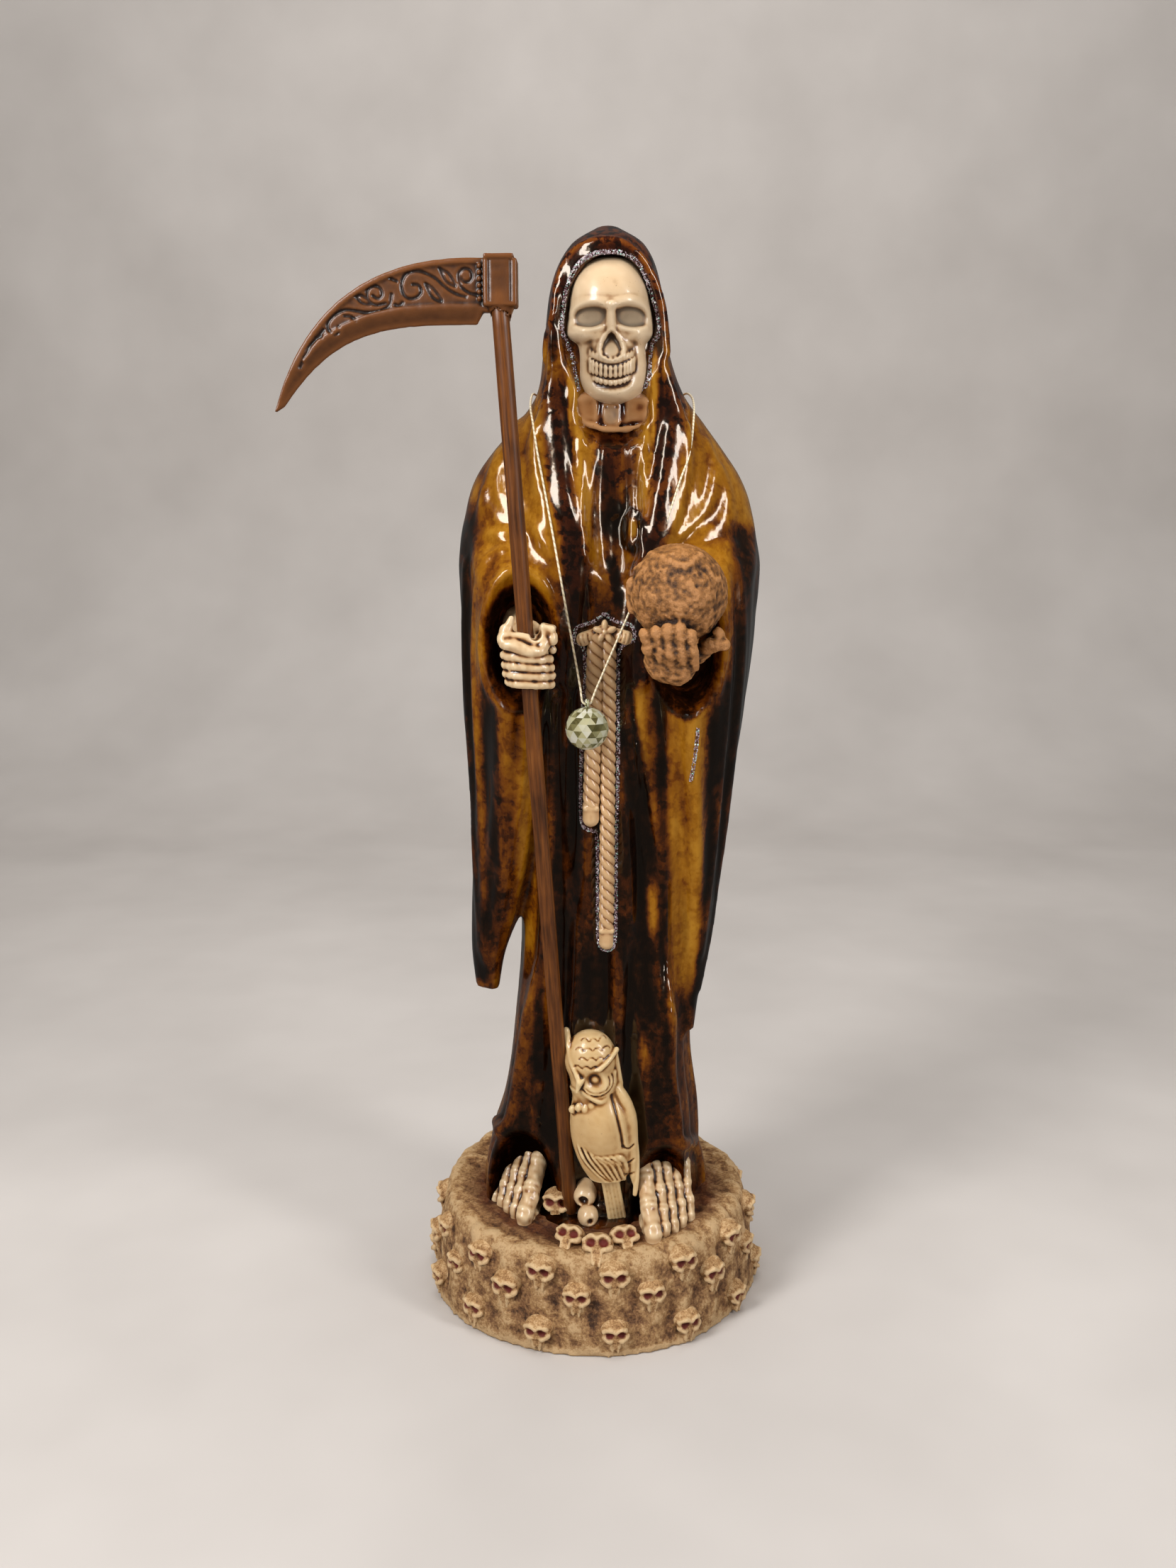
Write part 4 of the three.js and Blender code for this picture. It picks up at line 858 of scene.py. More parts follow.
def carve_globe_hand():
    """The left hand: four bony fingers lie up the front of a rough globe, and a thumb beside it."""
    clay = Carving((8, -112, 326), (66, -24, 400), 0.72)
    clay.add(egg(GLOBE, (GLOBE_RADIUS,) * 3))
    clay.add(egg((36, -88, 385), (14.5, 14, 9)), 3)
    ridge = [(24.5, 390), (31, 388), (36, 385.6), (39, 385.4), (42, 387.4), (45.5, 389.6)]
    clay.add(string([globe_front(x, z, 0.6) for x, z in smooth_points(ridge, 14)], 1.9), 0.8)
    for path, radius in [
        ([(47, 386), (51, 380), (54, 379.6)], 1.1), ([(16.6, 378), (15.4, 372), (16.8, 366)], 2.2),
        ([(18, 383.5), (22, 386.5), (26, 389)], 1.2),
    ]:
        clay.add(string([globe_front(x, z, 1.2) for x, z in smooth_points(path, 8)], radius), 1)
    # Fingers, from the palm below to their ragged tips on the globe.
    for i, (top_x, top_z, low_x, low_z) in enumerate([
        (21.6, 356.4, 26.2, 344.6), (26.2, 358.2, 30.4, 340.0), (31.2, 358.8, 34.6, 337.6), (36.6, 359.0, 39.0, 338.6),
        (41.4, 356.6, 43.6, 342.0),
    ]):
        radius = 3.1 if i < 4 else 2.7
        tip = (top_x, -102.6 - 0.5 * min(i, 3), top_z)
        middle = ((top_x + low_x) / 2, -100.6 - 0.6 * min(i, 3), (top_z + low_z) / 2)
        low = (low_x, -94.5 - 0.5 * i, low_z)
        clay.add(bone(tip, middle, radius * 0.9, radius * 0.96), 1.2)
        clay.add(bone(middle, low, radius * 0.9, radius * 0.95), 1.2)
    clay.add(egg((34, -90, 344), (12, 10, 11)), 3)
    clay.add(string([(35, -92, 340), (36, -93, 337)], [5, 3.6]), 2)
    thumb = [(46, -84, 346), (50.5, -89, 350.0), (54.6, -91.5, 351.4)]
    clay.add(string(smooth_points(thumb, 8), [4.4, 3.6, 3.2]), 1)
    clay.add(egg((54.8, -91.6, 356.0), (2.2, 2.4, 3.2), (0, -18, 0)), 1)
    clay.add(egg((57.2, -91.4, 351.0), (2.8, 2.6, 3.0)), 1)
    clay.add(string([(39, -77, 349), (42, -55, 351), (47, -33, 359)], [6.5, 6, 8]), 2)
    clay.cut(egg((46.6, -97, 350.6), (2.2, 6, 4.4)), 1.2)

    def crumb(x, y, z):
        coarse = 0.8 * wobble(x, y, z, 9.5, 4) + 0.5 * np.abs(wobble(x, y, z, 4.2, 5)) - 0.2
        fine = 0.42 * wobble(x, y, z, 2.3, 6)
        cap = smooth_step(z, 383, 389)
        return (coarse * 0.8 + fine) * (1 - 0.75 * cap)

    clay.change(clay.low, (66, -24, 400), crumb)
    return clay


BASE_HEIGHT = 50
BASE_BOTTOM_RADIUS = 87
BASE_TOP_RADIUS = 80
BASE_TURN = 0.12
SKULLS_AROUND = 14


def carve_base():
    """The base: a sandy drum with uneven sides and a rounded crumbling edge."""
    clay = Clay((-92, -92, -3), (92, 92, 62), 1.6)

    def distance(x, y, z):
        angle = np.arctan2(y, x)
        radius = BASE_BOTTOM_RADIUS + (BASE_TOP_RADIUS - BASE_BOTTOM_RADIUS) * z / BASE_HEIGHT
        radius = radius + 0.8 * np.sin(5 * angle + 1.5)
        facing = angle + math.pi / 2 - BASE_TURN
        column = 0.5 + 0.5 * np.cos(2 * SKULLS_AROUND * facing)
        radius = radius + 1.5 * column * smooth_step(z, 0, 12) * smooth_step(52 - z, 2, 16) - 0.4
        top = BASE_HEIGHT + 3.5 * (1 + np.sin(angle)) * smooth_step(np.hypot(x, y), 10, 75)
        side, over = np.hypot(x, y) - radius, z - top
        crumb = 0.5 * wobble(x, y, z, 5.2, 7) + 0.42 * wobble(x, y, z, 2.9, 8)
        lump = 1.1 * wobble(x, y, z, 17, 9)
        return -merged(-side, -over, 5.5) + crumb + lump

    clay.add(Form(distance, (-91, -91, -3), (91, 91, 60)))
    clay.cut(block((0, 0, -50), (120, 120, 50), 0.0))
    return clay


def carve_small_skull():
    """One small skull, 14 mm wide, that faces -Y with its middle at the origin."""
    clay = Clay((-11, -9, -12), (11, 8, 11), 0.95)
    clay.add(egg((0, 0.4, 2.4), (7.6, 5.2, 5.8)))
    clay.add(egg((0, -0.6, -4.4), (3.6, 3.6, 5.2)), 2.5)
    clay.add(string([(-6, -3.4, 3.0), (-3, -5.2, 4.2), (0, -5.0, 2.6), (3, -5.2, 4.2), (6, -3.4, 3.0)], 1.2), 1.2)
    for side in (-1, 1):
        clay.add(string([(side * 5.8, -2.8, -0.6), (side * 3.4, -4.4, -2.6)], [1.8, 1.3]), 1.0)
        clay.cut(egg((side * 3.1, -5.8, 1.0), (2.5, 2.9, 2.2), (0, side * 14, 0)), 0.7)
        clay.cut(egg((side * 3.4, -3.6, -5.6), (1.2, 2, 2.4)), 0.8)
        clay.add(string([(side * 2.2, -3.4, -4.8), (side * 1.5, -2.8, -9.6)], [1.0, 0.7]), 0.8)
    clay.cut(string([(0, -5.6, -1.4), (0, -5.2, -3.2)], [0.5, 1.0]), 0.4)
    clay.change(clay.low, (11, 8, 11), lambda x, y, z: 0.45 * wobble(x, y, z, 4.2, 14))
    return clay


FOOT_TOPS = [(0.02, 95), (0.3, 86), (0.6, 74), (0.8, 66), (0.97, 59.5), (1.04, 53)]


def carve_foot(heel_x, heel_y, heading, side):
    """A skeletal foot with five rows of toe bones. The big toe is the first, on the inner side."""
    ahead = np.array([math.sin(heading), -math.cos(heading)])
    out = np.array([math.cos(heading), math.sin(heading)]) * side

    def spot(forward, outward, z):
        return (*(np.array([heel_x, heel_y]) + ahead * forward + out * outward), z)

    corners = np.array([spot(f, o, 50) for f in (0, 50) for o in (-18, 18)])
    clay = Clay((*(corners.min(0)[:2] - 2), 46), (*(corners.max(0)[:2] + 2), 97), 0.64)
    shares, tops = zip(*FOOT_TOPS)
    for toe in range(5):
        reach = 47 - 21 * ((toe + 0.5) / 5) ** 1.3
        big = 1.22 if toe == 0 else 1 - 0.04 * toe
        joints = [0.0, 0.24, 0.46, 0.66, 0.83, 0.985] if toe else [0.0, 0.26, 0.52, 0.77, 0.99]
        joints = joints[1:] if toe == 4 else joints
        outward = (toe - 2) * 5.4 - (0.8 if toe == 0 else 0)
        points = [
            spot(share * reach, outward * (1 + 0.05 * math.sin(3 * i + toe)),
                 np.interp(share, shares, tops) - 2.6 - 0.7 * toe)
            for i, share in enumerate(joints)
        ]
        for a, b in zip(points[:-1], points[1:]):
            a, b = np.array(a), np.array(b)
            gap = 0.12 * (b - a)
            clay.add(bone(a + gap, b - gap, 2.4 * big, 3.5 * big), 0.5)
        tip = np.array(points[-1])
        clay.add(egg(tip + (0, 0, -1.2), (3.3 * big, 3.3 * big, 3.1 * big)), 0.6)
        under = [np.array(p) - (0, 0, 1.7) for p in points]
        clay.add(string(under, 3.6 * big), 1.2)
        clay.add(string([(p[0], p[1], 49.5) for p in under[2:]], 3.2 * big), 1.5)
    clay.change(clay.low, (corners.max(0)[0] + 2, corners.max(0)[1] + 2, 92),
                lambda x, y, z: 0.4 * wobble(x, y, z, 4.4, 9 + heel_x % 5))
    return clay


OWL_ROWS = [
    (74, 7, 8, -48, 6), (84, 6, 13, -49, 8), (98, 4.5, 16, -49, 11), (112, 3.3, 15.5, -49, 12),
    (121, 1.5, 12.5, -49, 10), (127, -1, 11.5, -49, 10),
]


def carve_owl():
    """The owl: scaled crown, a brow ridge from beak to horn, smooth breast, layered wing, tail."""
    clay = Carving((-17, -66, 48), (26, -34, 160), 0.6)

    def body(x, y, z):
        table = between_rows(OWL_ROWS, np.clip(z.ravel(), 74, 127))
        mid, half, mid_y, deep = (table[:, i][None, None, :] for i in range(1, 5))
        size = np.sqrt(((x - mid) / half) ** 2 + ((y - mid_y) / deep) ** 2)
        ends = np.maximum(76 - z, z - 126)
        return np.maximum(np.hypot(x - mid, y - mid_y) * (1 - 1 / np.maximum(size, 0.05)), ends)

    clay.add(Form(body, (-13, -62, 74), (22, -36, 128)))
    clay.add(egg((3.2, -53.5, 106), (10, 8.6, 15.5)), 2)
    clay.add(egg((-2, -49.5, 141), (13, 11.5, 14.5)), 3)
    clay.add(egg((0, -50.5, 130), (11.8, 10.5, 9)), 2.5)
    # Brow ridge in a V from the beak: to the ear on the left and the horn on the right.
    clay.add(string(smooth_points([(-7.2, -60.6, 132.2), (0, -61.4, 137.4), (6, -58.6, 142), (11, -52, 146.4)], 14),
                    np.linspace(1.0, 1.4, 14)), 0.8)
    clay.add(string(smooth_points([(-7.2, -60.6, 132.2), (-10.4, -57, 140), (-13, -51.6, 150), (-14, -50, 155.6)], 12),
                    np.linspace(1.2, 1.7, 12)), 0.8)
    clay.add(string([(-12.6, -50, 146), (-13.9, -50, 155)], [2.6, 1.2]), 1)
    clay.add(string([(10.4, -51, 144), (12.4, -50, 128)], [1.3, 2]), 1.5)
    # Face disc with its eye, and the beak.
    clay.cut(egg((1.6, -63.4, 131.6), (8.4, 4.2, 7.4), (0, 24, 0)), 1)
    clay.cut(egg((0.4, -61.6, 133.2), (5, 4, 4.4), (0, 24, 0)), 1.2)
    clay.add(egg((0.2, -56.6, 133), (2.9, 1.8, 2.7), (0, 24, 0)), 0.8)
    for radius in (6.4, 8.2):
        ring = [(1.4 + radius * math.cos(a), 131.8 + 0.86 * radius * math.sin(a)) for a in np.linspace(-2.6, 0.5, 14)]
        clay.cut(string(laid(clay, ring, 0.15, 20), 0.4), 0.5)
    clay.add(string([(-7.4, -60, 132), (-8.6, -60.6, 127.4)], [1.7, 0.7]), 0.8)
    clay.add(string(smooth_points([(-6, -58, 127), (0, -59, 122.8), (4, -58, 121.8), (8.6, -54.5, 127), (9.8, -53, 135)],
                                  16), 1.1), 0.8)
    # Scales of the crown, each a small arch.
    for row, (height, count) in enumerate([(139, 3), (143.4, 4), (147.8, 4), (151.6, 3)]):
        for i in range(count):
            x = -8.4 + 4.4 * i + 2.1 * (row % 2) + 0.5 * row
            arch = []
            for angle in np.radians(np.linspace(20, 160, 9)):
                ax, az = x + 2.0 * math.cos(angle), height + 1.9 * math.sin(angle)
                y = clay.front(ax, az)
                if y is not None and az > 132.4 + 0.74 * (ax + 7.2) + 2:
                    arch.append((ax, y, az))
            if len(arch) > 3:
                clay.cut(string(arch, 0.42), 0.25)
    # Ruff under the face, and the folded wing at the right with its layers.
    for i, x in enumerate(np.linspace(-10.8, 5.2, 6)):
        clay.add(egg((x, -57.5 + 0.04 * (x + 2) ** 2, 118.6 + 0.25 * x + (i % 2)), (2.0, 1.8, 2.3), (0, 20, 0)), 0.7)
    wing = smooth_points([(11, -52, 126), (15, -51.5, 118), (17.6, -51, 106), (18.6, -50.5, 92), (20.4, -49.5, 74)], 16)
    clay.add(string(wing, np.interp(np.linspace(0, 1, 16), [0, 0.4, 0.8, 1], [3, 4.4, 3.4, 1.2])), 1.5)
    clay.add(string(smooth_points([(19.4, -51, 102), (21, -51, 92), (21.4, -50.5, 78), (20.6, -50, 68)], 12),
                    np.linspace(1.9, 1.2, 12)), 0.4)
    clay.cut(string(laid(clay, [(8.6, 124), (11.4, 114), (13.4, 105), (14.6, 97)], -0.2, 14), 0.65), 1.4)
    for height in (98, 90, 82):
        points = laid(clay, [(14, height), (17, height - 2.6), (20, height - 1.0)], 0.1, 8)
        if len(points) > 2:
            clay.cut(string(points, 0.45), 0.3)
    # Lower feathers sweep down to the right under the breast.
    for i in range(7):
        path = [(-8 + 3.0 * i, 98 - 1.6 * min(i, 3)), (-3 + 3.0 * i, 88), (7 + 1.9 * i, 76 - i)]
        clay.add(string(laid(clay, path, 0.9, 12), np.interp(np.arange(12), [0, 4, 11], [0.8, 1.9, 1.0])), 0.3)
    for i in range(6):
        path = [(-6.5 + 3.0 * i, 96 - 1.6 * min(i, 3)), (-1.5 + 3.0 * i, 86), (8 + 1.9 * i, 76 - i)]
        clay.cut(string(laid(clay, path, -0.1, 12), 0.55), 0.3)
    # Tail of five long feathers down to the floor.
    for i in range(5):
        clay.add(string([(3.4 + 1.75 * i, -51 + 0.5 * abs(i - 2), 84 - i), (8.2 + 1.9 * i, -44.6 + 0.4 * i, 50.6)],
                        [1.3, 1.1]), 0.1)
    clay.add(string([(7.4, -46, 84), (12, -40.6, 53)], [4.6, 3]), 0.1)
    clay.change(clay.low, (26, -34, 160), lambda x, y, z: 0.06 * wobble(x, y, z, 4.1, 11))
    return clay


def carve_floor_bones():
    """A hollow bone and a ball bone between the feet."""
    clay = Clay((-12, -62, 46), (8, -24, 76), 0.62)
    clay.add(string([(-2, -31, 68), (-4.8, -41.5, 63.2)], [5.4, 6]))
    clay.cut(egg((-5.6, -46.4, 62), (2.7, 3.6, 2.9)), 0.8)
    clay.add(egg((-3.2, -47, 54.6), (5.4, 6, 5.6)), 0.6)
    clay.cut(egg((-1.8, -53.6, 53.4), (2.2, 3, 2.4)), 0.8)
    clay.add(string([(-6, -36, 52), (2, -36, 52)], 5), 1)
    clay.change(clay.low, (8, -24, 76), lambda x, y, z: 0.12 * wobble(x, y, z, 4.3, 12))
    return clay


POLE_END = 496
BLADE_THICKNESS = 6
SOCKET = (14, 13, 19)
COLLAR_HEIGHT = 8


def bezier(a, b, c, d, count=22):
    """Points of a cubic curve."""
    a, b, c, d = (np.array(p, float) for p in (a, b, c, d))
    t = np.linspace(0, 1, count)[:, None]
    return a * (1 - t) ** 3 + 3 * b * t * (1 - t) ** 2 + 3 * c * t * t * (1 - t) + d * t ** 3


def blade_outline():
    """The blade's outline from the pole's top, x to the viewer's right and z up."""
    back = bezier((-5, 26.5), (-66, 29.5), (-87, -6.5), (-96.2, -35.6))
    edge = bezier((-92, -33.2), (-69, -0.5), (-47, 0), (-10, 0))
    return np.vstack([back, edge, [(-7.5, 5), (-5, 5)]])


def outline_distance(outline, x, z):
    """Signed distance to a closed outline, below zero inside."""
    best, inside = np.full(np.broadcast(x, z).shape, 1e9), np.zeros(np.broadcast(x, z).shape, bool)
    for a, b in zip(outline, np.roll(outline, -1, 0)):
        d = b - a
        t = np.clip(((x - a[0]) * d[0] + (z - a[1]) * d[1]) / (d @ d), 0, 1)
        best = np.minimum(best, (x - a[0] - t * d[0]) ** 2 + (z - a[1] - t * d[1]) ** 2)
        crosses = ((a[1] > z) != (b[1] > z)) & (x < d[0] * (z - a[1]) / (d[1] if d[1] else 1e-9) + a[0])
        inside ^= crosses
    return np.where(inside, -1, 1) * np.sqrt(best)


def carve_blade():
    """The scythe's blade: a rim, a lower band, scrolls cut into both faces, and its socket."""
    top = np.array(POLE_TOP)
    clay = Clay((-138, -107.5, 446), (-29, -89, 516), 0.5)
    outline = blade_outline() + top[[0, 2]]
    half = BLADE_THICKNESS / 2
    scrolls = [
        [(-55.6, 504), (-54.5, 502.6), (-52.4, 502.6), (-51, 504.6), (-52, 507.2), (-54.6, 507.6), (-56.6, 505.4),
         (-56, 501.4), (-53, 498.4), (-49, 497.2)],
        [(-53.7, 496.6), (-57.6, 497.6), (-61.9, 500.2), (-66.1, 503.8), (-70.4, 506), (-74.7, 506.9), (-78.4, 505.6),
         (-80.4, 501.8), (-79.7, 497.6), (-77.1, 495.8), (-73.8, 496.6), (-72.2, 498.9), (-73.4, 501.2), (-75.6, 501.4)],
        [(-92.4, 497), (-90.4, 495.8), (-88.6, 497.4), (-89.4, 500), (-92, 500.9), (-94.6, 499.2), (-94.4, 495.4),
         (-91.4, 493.4), (-87, 494)],
        [(-84.6, 497.6), (-85.6, 493.4), (-89.4, 490.8), (-94.5, 490.2), (-99.9, 491), (-104.2, 491.3), (-108.5, 489.4),
         (-111.3, 486.3), (-111.5, 483.7), (-109.3, 481.6), (-107.2, 482.4), (-106.8, 484.4)],
        [(-64.4, 507.7), (-60.7, 505.6), (-58, 500.9), (-61.8, 502.8), (-64.4, 507.7)],
        [(-70.3, 501.7), (-67.5, 499.9), (-63.9, 495), (-67.6, 496.4), (-70.3, 501.7)],
        [(-99.7, 497.1), (-96.5, 496.9), (-93.5, 493.9), (-97, 494.2), (-99.7, 497.1)],
        [(-104.4, 489), (-102, 488.8), (-99.8, 487)],
        [(-113.2, 483.5), (-116.4, 480), (-120, 475.4), (-123.8, 468.4)], [(-114.4, 480.6), (-116.6, 480.2)],
        [(-86.3, 505), (-84.4, 503.6), (-82.3, 502.8)], [(-83.2, 493.4), (-81.5, 493.1), (-80.1, 494.3)],
    ]

    def plate(x, y, z):
        flat = outline_distance(outline, x[:, 0, 0][:, None], z[0, 0, :][None, :])
        rim = smooth_step(-flat, 2.0, 2.8)
        lower = np.min([np.hypot(x[:, 0, 0][:, None] - p[0], z[0, 0, :][None, :] - p[1]) for p in smooth_points(
            outline[22:44], 90)], axis=0)
        sunk = 0.6 * rim * smooth_step(lower, 7.2, 8.0)
        bevel = 1.9 * (1 - smooth_step(lower, 0, 7.0))
        cut = np.max([crest(x[:, 0, 0][:, None], z[0, 0, :][None, :], line, 1.05, 40) for line in scrolls], axis=0)
        thick = half - sunk - bevel - 0.6 * np.minimum(1.5 * cut, 1) * rim
        across = np.abs(y - top[1]) - thick[:, None, :]
        return -merged(-flat[:, None, :] * np.ones_like(y), -across, 1.2)

    clay.add(Form(plate, (outline[:, 0].min(), top[1] - half, outline[:, 1].min()),
                  (outline[:, 0].max(), top[1] + half, outline[:, 1].max())))
    for face in (-1, 1):
        y = top[1] + face * (half - 0.9)
        rib = [(x + 0.4, y, z + 7.6) for x, z in smooth_points(outline[22:44], 40) if x > -124]
        clay.add(string(rib, 0.8), 0.4)
    x, y, z = top
    clay.add(block((x, y, z + COLLAR_HEIGHT + SOCKET[2] / 2 - 1), [s / 2 for s in SOCKET], 1.0), 0.4)
    clay.add(block((x - 0.6, y, z + COLLAR_HEIGHT + SOCKET[2] - 0.2), (6.2, SOCKET[1] / 2 + 0.5, 0.9), 0.5), 0.3)
    clay.add(string([(x, y, z + 1.2), (x, y, z + 4), (x, y, z + COLLAR_HEIGHT)], [4.0, 4.4, 6.0]), 0.5)
    for face in (-1, 1):
        for i in range(6):
            clay.add(egg((x - SOCKET[0] / 2 - 1.7, y + face * half, z + COLLAR_HEIGHT + 1 + (i + 0.5) * 2.6),
                         (1.0, 0.9, 1.0)), 0.2)
        for away in (3.6, 4.9):
            clay.cut(string([(x - SOCKET[0] / 2 - away, y + face * (half + 0.2), z + 9),
                             (x - SOCKET[0] / 2 - away, y + face * (half + 0.2), z + 24)], 0.5), 0.2)
    for away in (-4.6, 4.4):
        clay.cut(string([(x + away, y - SOCKET[1] / 2, z + 9), (x + away, y - SOCKET[1] / 2, z + 25)], 0.45), 0.2)
    clay.cut(string([pole_point(478), pole_point(POLE_END)], 4.0), 0.2)
    clay.add(block((x - 0.6, y, z + COLLAR_HEIGHT + SOCKET[2] - 0.4), (5.8, SOCKET[1] / 2 - 0.2, 1.1), 0.3), 0.2)
    clay.change(clay.low, (-29, -89, 516), lambda x, y, z: 0.08 * wobble(x, y, z, 3.9, 13))
    return clay

# Materials, each named for the real one

def amber_resin():
    """Tinted cast polyester resin: clear gold where thin, nearly black where the tint is thick.
    Its tone also holds painted light and shade: lighter on ridges, darker in hollows and inside the
    cuffs and foot arches. It gives the eye a deep wet gloss over mottled brown and gold."""
    material, tree = new_material("cast_amber_polyester_resin")
    place = node(tree, "ShaderNodeTexCoord")
    upright = node(tree, "ShaderNodeMapping", None, {"Vector": (place, "Object"), "Scale": (1, 1, 0.35)})
    blotch = node(tree, "ShaderNodeTexNoise", None, {
        "Vector": (upright, "Vector"), "Scale": 1 / (13 * MM), "Detail": 5, "Roughness": 0.6, "Distortion": 0.6})
    speck = node(tree, "ShaderNodeTexNoise", None, {
        "Vector": (place, "Object"), "Scale": 1 / (2.4 * MM), "Detail": 3, "Roughness": 0.6})
    amber = node(tree, "ShaderNodeAttribute", {"attribute_name": "amber"})
    proud = node(tree, "ShaderNodeAttribute", {"attribute_name": "proud"})
    red = node(tree, "ShaderNodeAttribute", {"attribute_name": "red"})
    mottled = node(tree, "ShaderNodeMath", {"operation": "MULTIPLY_ADD"}, {
        0: (blotch, "Fac"), 1: 1.3, 2: (amber, "Fac")})
    speckled = node(tree, "ShaderNodeMath", {"operation": "MULTIPLY_ADD"}, {
        0: (speck, "Fac"), 1: 0.30, 2: (mottled, "Value")})
    # Painted light and shade: the tone is raised on ridges and lowered in hollows of the folds.
    ridge_and_hollow_shade = node(tree, "ShaderNodeMath", {"operation": "MULTIPLY_ADD"}, {
        0: (proud, "Fac"), 1: 0.3, 2: (speckled, "Value")})
    spots = node(tree, "ShaderNodeTexNoise", None, {
        "Vector": (place, "Object"), "Scale": 1 / (4.5 * MM), "Detail": 3, "Roughness": 0.55})
    spotted = node(tree, "ShaderNodeMapRange", None, {
        "Value": (spots, "Fac"), "From Min": 0.5, "From Max": 0.6, "To Max": 0.6})
    where = node(tree, "ShaderNodeMath", {"operation": "MULTIPLY_ADD"}, {0: (red, "Fac"), 1: 0.8, 2: 0.22})
    darker = node(tree, "ShaderNodeMath", {"operation": "MULTIPLY"}, {0: (spotted, "Result"), 1: (where, "Value")})
    blotted = node(tree, "ShaderNodeMath", {"operation": "SUBTRACT"}, {0: (ridge_and_hollow_shade, "Value"), 1: (darker, "Value")})
    tone = node(tree, "ShaderNodeMapRange", None, {"Value": (blotted, "Value"), "From Min": 0.86, "From Max": 1.95})
    gold = node(tree, "ShaderNodeValToRGB", None, {"Fac": (tone, "Result")}, stops=[
        (0.0, "0a0301"), (0.16, "1a0902"), (0.32, "401b04"), (0.5, "6a3806"), (0.72, "8c580c"), (1.0, "a8741e")])
    maroon = node(tree, "ShaderNodeValToRGB", None, {"Fac": (tone, "Result")}, stops=[
        (0.0, "140503"), (0.3, "2e0f06"), (0.6, "5a270b"), (1.0, "85480f")])
    both = node(tree, "ShaderNodeMix", {"data_type": "RGBA"}, {0: (red, "Fac"), 6: (gold, "Color"), 7: (maroon, "Color")})
    ripple = node(tree, "ShaderNodeTexNoise", None, {
        "Vector": (place, "Object"), "Scale": 1 / (6 * MM), "Detail": 2})
    bump = node(tree, "ShaderNodeBump", None, {"Height": (ripple, "Fac"), "Strength": 0.35, "Distance": 0.6 * MM})
    haze = node(tree, "ShaderNodeMapRange", None, {"Value": (speck, "Fac"), "To Min": 0.10, "To Max": 0.24})
    hollow = node(tree, "ShaderNodeAttribute", {"attribute_name": "hollow"})
    dulled = node(tree, "ShaderNodeMath", {"operation": "MULTIPLY_ADD"}, {
        0: (hollow, "Fac"), 1: 0.6, 2: (haze, "Result")})
    coated = node(tree, "ShaderNodeMath", {"operation": "MULTIPLY_ADD"}, {0: (hollow, "Fac"), 1: -0.5, 2: 0.5})
    shader = node(tree, "ShaderNodeBsdfPrincipled", None, {
        "Base Color": (both, 2), "Roughness": (dulled, "Value"), "Normal": (bump, "Normal"), "IOR": 1.5,
        "Specular IOR Level": (coated, "Value"), "Specular Tint": colour_of("ffe6c8"), "Coat Weight": (coated, "Value"), "Coat Roughness": 0.02, "Coat IOR": 1.5})
    node(tree, "ShaderNodeOutputMaterial", None, {"Surface": (shader, "BSDF")})
    return material


def bone_paint(name, light, middle, dark, bright="e9ca9e", grain=0.5, gloss=0.3):
    """Ivory paint on resin, rubbed with brown glaze: the brown stays in hollows and specks, and
    the ridges are wiped pale. It gives the eye old bone with a soft gloss."""
    material, tree = new_material(name)
    place = node(tree, "ShaderNodeTexCoord")
    cloud = node(tree, "ShaderNodeTexNoise", None, {
        "Vector": (place, "Object"), "Scale": 1 / (7 * MM), "Detail": 5, "Roughness": 0.6})
    speck = node(tree, "ShaderNodeTexNoise", None, {
        "Vector": (place, "Object"), "Scale": 1 / (1.5 * MM), "Detail": 3, "Roughness": 0.7})
    proud = node(tree, "ShaderNodeAttribute", {"attribute_name": "proud"})
    shaped = node(tree, "ShaderNodeMapRange", None, {
        "Value": (proud, "Fac"), "From Min": 0.1, "From Max": 0.88})
    clouded = node(tree, "ShaderNodeMath", {"operation": "MULTIPLY_ADD"}, {
        0: (cloud, "Fac"), 1: 0.34, 2: (shaped, "Result")})
    tone = node(tree, "ShaderNodeMath", {"operation": "SUBTRACT"}, {0: (clouded, "Value"), 1: 0.17})
    paint = node(tree, "ShaderNodeValToRGB", None, {"Fac": (tone, "Value")}, stops=[
        (0.06, dark), (0.33, middle), (0.52, light), (1.0, bright)])
    flecks = node(tree, "ShaderNodeMapRange", None, {
        "Value": (speck, "Fac"), "From Min": 0.66, "From Max": 0.73, "To Max": 0.6})
    grey = node(tree, "ShaderNodeAttribute", {"attribute_name": "grey"})
    greyed = node(tree, "ShaderNodeMix", {"data_type": "RGBA"}, {
        0: (grey, "Fac"), 6: (paint, "Color"), 7: colour_of("918068")})
    spotted = node(tree, "ShaderNodeMix", {"data_type": "RGBA"}, {
        0: (flecks, "Result"), 6: (greyed, 2), 7: colour_of("6b4524")})
    matt = node(tree, "ShaderNodeMapRange", None, {"Value": (grey, "Fac"), "To Min": gloss, "To Max": 0.85})
    coat = node(tree, "ShaderNodeMapRange", None, {
        "Value": (grey, "Fac"), "From Max": 0.5, "To Min": 0.35, "To Max": 0})
    bump = node(tree, "ShaderNodeBump", None, {"Height": (speck, "Fac"), "Strength": 0.4, "Distance": grain * 0.3 * MM})
    shader = node(tree, "ShaderNodeBsdfPrincipled", None, {
        "Base Color": (spotted, 2), "Roughness": (matt, "Result"), "Normal": (bump, "Normal"), "IOR": 1.5,
        "Coat Weight": (coat, "Result"), "Coat Roughness": 0.12})
    node(tree, "ShaderNodeOutputMaterial", None, {"Surface": (shader, "BSDF")})
    return material


